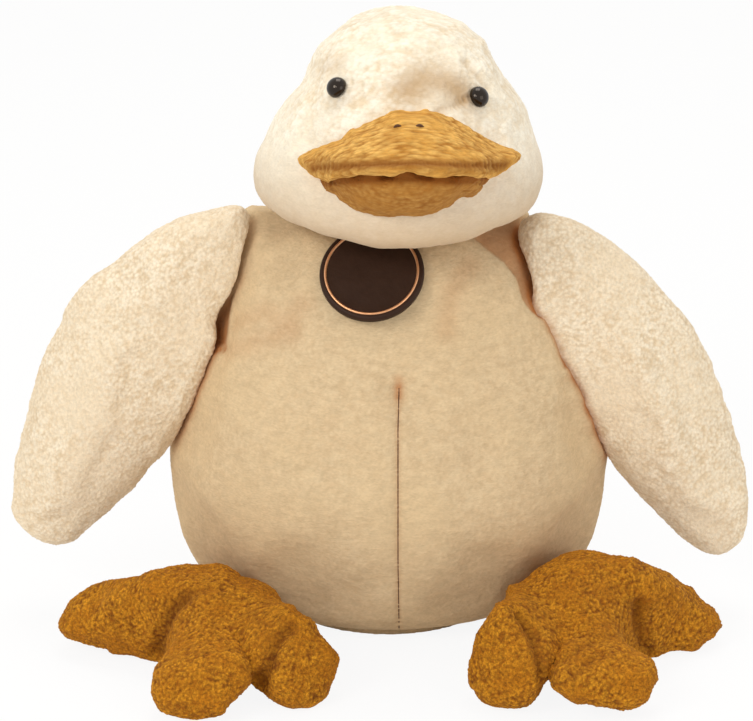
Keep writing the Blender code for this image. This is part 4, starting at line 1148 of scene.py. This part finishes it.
def foot_seams(points, normals):
    """The seam round the foot's edge, and its sole."""
    return (abs(normals[:, 2]) < EDGE_SLOPE) | (points[:, 2] < SOLE_SEAM_TOP)


def above_sole(points, normals):
    """Full pile except on the sole."""
    return np.clip((points[:, 2] - SOLE_TOP) / SOLE_PILE_RISE, 0, 1)


def stand_on_floor(piece):
    """Lift to the floor what lies below it."""
    stood = points_of(piece.data)
    stood[:, 2] = np.maximum(stood[:, 2], 0.0)
    set_points(piece.data, stood)


for word in ("left", "right"):
    covered = (f"foot_{word}_cover", f"foot_{word}_stuffing")
    foot = wrapped(f"foot_{word}_plush", covered, voxel=0.0027, reach=0.0045)
    puffed(foot, foot_seams, pressure=2.0, slack=0.04, most=0.0018, sink=0.0006)
    refined(foot, 2)
    grabbed(foot, FOOT_PULLS_PIXELS[word], reach=18.0, forward=0.6)
    grabbed(foot, TOE_PULLS_PIXELS[word], reach=12.0)
    for saddle in FOOT_FULLNESS_PIXELS[word]:
        crease(foot, saddle, width=0.0090, depth=-0.0040)
    # Painted shade: the valleys between the toes and the wrinkles are darkened as well as pressed in.
    for valley in FOOT_VALLEYS_PIXELS[word]:
        crease(foot, valley, width=0.0034, depth=0.0042, shade=0.50, shade_width=0.0036)
    for wrinkle in FOOT_WRINKLES_PIXELS[word]:
        crease(foot, wrinkle, width=0.0022, depth=0.0012, shade=0.25, shade_width=0.0022)
    # The dome is darkened a little as well.
    crease(foot, FOOT_DOME_PIXELS[word], width=0.0150, depth=0.0, shade=0.10)
    raise_pile(foot, nub=0.0015, height=0.0009, tuft=0.0045, tuft_height=0.0004, keep=above_sole)
    stand_on_floor(foot)
    dress(foot, MUSTARD, "mustard_plush", f"foot_{word}", *covered, fill=0.75)

# %% [markdown]
# The tail is a short flat cushion that tips up behind. Nothing in the photograph shows it, so it is
# plain and has the body's plush.

# %% Tail
tail = wrapped("tail_plush", ("tail_cover", "tail_stuffing"), voxel=0.0022, reach=0.0040)
refined(tail, 2)
raise_pile(tail, nub=0.0026, height=0.0008, tuft=0.0050, tuft_height=0.0007)
dress(tail, CREAM, "cream_plush", "body", "tail_cover", "tail_stuffing", fill=0.8)

# %% [markdown]
# Where two stuffed pieces are sewn together, their piles meet in a narrow valley that lies in shade
# and looks a warm dark brown. That shade is painted on the skins, by how near the neighbour is. Behind
# the wings the body is left without painted shade, because the skin there shows when a wing lifts. Two
# outlines say what the wings hide.

# %% Sewn valleys
BEHIND_WINGS_PIXELS = (
    (
        (248, 217), (246, 239), (242, 254), (238, 276), (230, 294), (221, 308), (216, 321), (217, 331),
        (216, 348), (210, 363), (200, 383), (192, 404), (182, 424), (165, 456), (139, 486), (90, 528),
        (43, 543), (12, 515), (24, 416), (66, 304), (140, 222), (213, 207), (240, 205),
    ),
    (
        (519, 230), (521, 246), (529, 266), (533, 289), (534, 305), (543, 319), (550, 330), (557, 346),
        (566, 366), (579, 388), (586, 405), (595, 427), (606, 454), (641, 500), (690, 545), (716, 556),
        (744, 530), (745, 471), (703, 345), (638, 262), (562, 217), (530, 214),
    ),
)
BEHIND_SOFT = 7.0


def plain_behind(piece, outlines, soft):
    """Take away the painted shade that shows inside outlines."""
    pixels, _ = seen_at(points_of(piece.data))
    layer = piece.data.attributes["shade"]
    held = np.zeros(len(pixels), np.float32)
    layer.data.foreach_get("value", held)
    for outline in outlines:
        held *= 1 - inside(pixels, outline, soft)
    layer.data.foreach_set("value", held)


limbs = [bpy.data.objects[name] for name in ("wing_left_plush", "wing_right_plush")]
feet = [bpy.data.objects[name] for name in ("foot_left_plush", "foot_right_plush")]
sewn_shade(body, limbs, reach=0.0028, amount=0.75)
plain_behind(body, BEHIND_WINGS_PIXELS, BEHIND_SOFT)
sewn_shade(body, feet, reach=0.0040, amount=0.35)
sewn_shade(body, [tail], reach=0.0030, amount=0.5)
for limb in limbs:
    sewn_shade(limb, [body], reach=0.0022, amount=0.40)
for foot in feet:
    sewn_shade(foot, [body], reach=0.0040, amount=0.45)
print("valleys warmed on the body, wings and feet")

# %% [markdown]
# The neck is a short gathered tube of the body's plush between the body and the head. A ball of the
# frame's stuffing carries the joint, so the tube starts as a ball round the same centre and is pushed
# in by upright gathers.

# %% Neck
NECK_PROUD = 0.0015
GATHERS = 22
GATHER_DEPTH = 0.0009
UNEVEN_GATHERS = 9
UNEVEN_DEPTH = 0.0006


def placed(name, scale=(1, 1, 1)):
    """Name and scale the primitive just added, and move its place into its mesh."""
    piece = bpy.context.object
    piece.name = name
    piece.scale = scale
    bpy.ops.object.transform_apply(location=True, rotation=True, scale=True)
    return piece


bpy.ops.mesh.primitive_uv_sphere_add(
    segments=64, ring_count=32, radius=neck_radius + NECK_PROUD, location=neck_centre
)
neck = placed("neck_plush")
ball = points_of(neck.data)
turn = np.arctan2(ball[:, 1], ball[:, 0])
gather = GATHER_DEPTH * np.cos(turn * GATHERS) + UNEVEN_DEPTH * np.cos(turn * UNEVEN_GATHERS + 1.0)
set_points(neck.data, ball + outward(neck.data) * gather[:, None])
refined(neck, 2)
raise_pile(neck, nub=0.0026, height=0.0007, tuft=0.0050, tuft_height=0.0006)
dress(neck, CREAM, "cream_plush", None, "neck_stuffing", fill=0.8)
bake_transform(neck)
print("neck", len(neck.data.vertices), "points with", GATHERS, "gathers")

# %% [markdown]
# The base panel is a flat round of cream plush under the body. It starts as a disc, is rounded at its
# rim with a bevel and is pressed flat on the floor.

# %% Base panel
PANEL_RIM = 0.0012
PANEL_VOXEL = 0.0012
base_low, base_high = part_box("base_panel")
panel_radius = (base_high.x - base_low.x) / 2
panel_depth = base_high.z - base_low.z
bpy.ops.mesh.primitive_cylinder_add(
    vertices=96, radius=panel_radius, depth=panel_depth, location=(0, 0, base_low.z + panel_depth / 2)
)
base = placed("base_panel_plush")
edit_all(bpy.ops.mesh.bevel, offset=PANEL_RIM, segments=3, affect="EDGES")
remeshed(base, PANEL_VOXEL)
bpy.ops.object.shade_smooth()
raise_pile(base, nub=0.0024, height=0.0004, tuft=0.0050, tuft_height=0.0003)
stand_on_floor(base)
dress(base, CREAM, "cream_plush", "body", "base_panel", fill=0.2)

# %% [markdown]
# The eyes are safety eyes: a glossy black dome on a shank, locked by a washer inside. Each dome is a
# fine sphere, cut flat at the back and set on the frame's own axis, which the flat washer behind it
# gives as its thinnest direction.

# %% Eyes
def facing(node_name, towards):
    """The frame of a flat round node: its centre, with Z along its axis."""
    points = points_of(nodes[node_name].data)
    centre = points.mean(0)
    _, _, axes = np.linalg.svd(points - centre)
    axis = Vector(axes[2])
    if axis.dot(towards) < 0:
        axis = -axis
    return Matrix.Translation(centre) @ axis.to_track_quat("Z", "Y").to_matrix().to_4x4()


EYE_RADIUS = 0.0045
EYE_BULGE = 0.0040
EYE_SKIRT = 0.0006
SHANK_RADIUS = 0.0016
for word in ("left", "right"):
    seat = facing(f"eye_washer_{word}", Vector((0, -1, 0)))
    eye_points = points_of(nodes[f"eye_{word}"].data)
    along = (eye_points - np.array(seat.translation)) @ np.array(seat.col[2][:3])
    back = along.max() - EYE_BULGE - EYE_SKIRT
    bpy.ops.mesh.primitive_uv_sphere_add(segments=48, ring_count=32, radius=EYE_RADIUS)
    eye = placed(f"eye_{word}_dome", scale=(1, 1, EYE_BULGE / EYE_RADIUS))
    edit_all(
        bpy.ops.mesh.bisect, plane_co=(0, 0, -EYE_SKIRT), plane_no=(0, 0, 1),
        use_fill=True, clear_inner=True, clear_outer=False,
    )
    shank_length = back - along.min()
    bpy.ops.mesh.primitive_cylinder_add(
        vertices=24, radius=SHANK_RADIUS, depth=shank_length, location=(0, 0, -shank_length / 2)
    )
    eye.select_set(True)
    bpy.context.view_layer.objects.active = eye
    bpy.ops.object.join()
    eye.data.transform(seat @ Matrix.Translation((0, 0, back)))
    bpy.ops.object.shade_smooth_by_angle(angle=math.radians(40))
    dress(eye, EYE_BLACK, "eye_black", "head", f"eye_{word}")

# %% [markdown]
# The medallion is a thick round of brown with a copper ring let into its face. It hangs bare: nothing
# is marked on it. The disc is a cylinder whose face is inset and sunk a little inside the ring, and
# whose rims are bevelled. The ring is a thin torus.

# %% Medallion
RING_WIRE = 0.0006
RING_SUNK = 0.35
RIM_BEVEL = 0.0013
GROOVE_DEPTH = 0.0003
FACE_MARGIN = 0.004
FACE_RISE = 0.0001
medal_frame = facing("medallion_ring", Vector((0, -1, 0.3)))


def seen_from_medal(node_name):
    """A node's points in the medallion's own frame, and how far each lies from its axis."""
    points = points_of(nodes[node_name].data) - np.array(medal_frame.translation)
    offsets = points @ np.array(medal_frame.to_3x3())
    return offsets, np.hypot(offsets[:, 0], offsets[:, 1])


def pick_faces(piece, wanted):
    """In edit mode, select just the faces that a test picks, and show face mode."""
    bpy.ops.object.mode_set(mode="EDIT")
    bpy.ops.mesh.select_mode(type="FACE")
    bpy.ops.mesh.select_all(action="DESELECT")
    shell = bmesh.from_edit_mesh(piece.data)
    for face in shell.faces:
        face.select = wanted(face)
    shell.select_flush(False)
    bmesh.update_edit_mesh(piece.data)


_, ring_reach = seen_from_medal("medallion_ring")
ring_radius = (ring_reach.max() + ring_reach.min()) / 2
disc_offsets, disc_reach = seen_from_medal("medallion_disc")
disc_radius = disc_reach.max()
disc_back = disc_offsets[:, 2].min()
disc_face = disc_offsets[:, 2].max()
disc_middle = (disc_face + disc_back) / 2
bpy.ops.mesh.primitive_cylinder_add(
    vertices=128, radius=disc_radius, depth=disc_face - disc_back, location=(0, 0, disc_middle)
)
disc = placed("medallion_disc_fine")
pick_faces(disc, lambda face: face.normal.z > 0.9)
bpy.ops.mesh.inset(thickness=disc_radius - ring_radius - RING_WIRE)
bpy.ops.mesh.inset(thickness=RING_WIRE * 2, depth=-GROOVE_DEPTH)
bpy.ops.mesh.inset(thickness=FACE_MARGIN, depth=FACE_RISE)
bpy.ops.object.mode_set(mode="OBJECT")
rim = disc.modifiers.new("rim", "BEVEL")
rim.width = RIM_BEVEL
rim.segments = 4
rim.limit_method = "ANGLE"
rim.angle_limit = math.radians(50)
only(disc)
bpy.ops.object.modifier_apply(modifier=rim.name)
disc.data.transform(medal_frame)
bpy.ops.object.shade_smooth_by_angle(angle=math.radians(30))
dress(disc, BROWN, "medallion_brown", "body", "medallion_disc")

bpy.ops.mesh.primitive_torus_add(
    major_segments=128, minor_segments=12, major_radius=ring_radius, minor_radius=RING_WIRE,
    location=(0, 0, disc_face - RING_WIRE * RING_SUNK),
)
ring = placed("medallion_ring_fine")
ring.data.transform(medal_frame)
bpy.ops.object.shade_smooth()
dress(ring, COPPER, "ring_copper", "body", "medallion_ring")
print("medallion", round(2 * disc_radius / MM, 1), "mm, ring", round(2 * ring_radius / MM, 1), "mm")

# %% [markdown]
# Threads come last, because they lie on the finished skins. The belly thread runs down the groove of
# the front seam, and each nostril is one short stitch on top of the beak, whose ends sink into the
# plush.

# %% Threads
THREAD_RADIUS = 0.00022
STITCH_RADIUS = 0.0006
STITCH_HALF = 0.0015
STITCH_STEPS = 8
STITCH_PROUD = 0.0005
STITCH_DIP = 0.0012
LOOK_FROM_ABOVE = 0.010


def thread(name, path, radius, body_name, replaced):
    """A smooth round thread along a path."""
    line = bpy.data.curves.new(name, "CURVE")
    line.dimensions = "3D"
    line.bevel_depth = radius
    line.bevel_resolution = 3
    line.use_fill_caps = True
    spline = line.splines.new("POLY")
    spline.points.add(len(path) - 1)
    for knot, place in zip(spline.points, path):
        knot.co = (*place, 1)
    piece = bpy.data.objects.new(name, line)
    scene.collection.objects.link(piece)
    only(piece)
    bpy.ops.object.convert(target="MESH")
    piece = bpy.context.object
    edit_all(bpy.ops.mesh.remove_doubles, threshold=MERGE_DISTANCE)
    bpy.ops.object.shade_smooth()
    dress(piece, THREAD, "brown_thread", body_name, replaced)


seam_places = seen_on(body, BELLY_SEAM_PIXELS, pace=6.0)
belly_path = [seam_places[0]]
for before, place in zip(seam_places, seam_places[1:]):
    if (place - before).length > MM:
        belly_path.append(place)
thread("belly_thread", belly_path, THREAD_RADIUS, "body", "belly_seam")

beak_tree = BVHTree.FromObject(upper_beak, bpy.context.evaluated_depsgraph_get())
for word in ("left", "right"):
    low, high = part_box(f"nostril_{word}")
    middle = (low + high) / 2
    stitch = []
    for i in range(STITCH_STEPS + 1):
        across = (i / STITCH_STEPS - 0.5) * 2
        above = Vector((middle.x + across * STITCH_HALF, middle.y, middle.z + LOOK_FROM_ABOVE))
        hit, normal, _, _ = beak_tree.ray_cast(above, Vector((0, 0, -1)))
        stitch.append(hit + normal * (STITCH_PROUD - STITCH_DIP * across ** 2))
    thread(f"nostril_{word}_stitch", stitch, STITCH_RADIUS, "head", f"nostril_{word}")
print("threads on the belly and the beak")
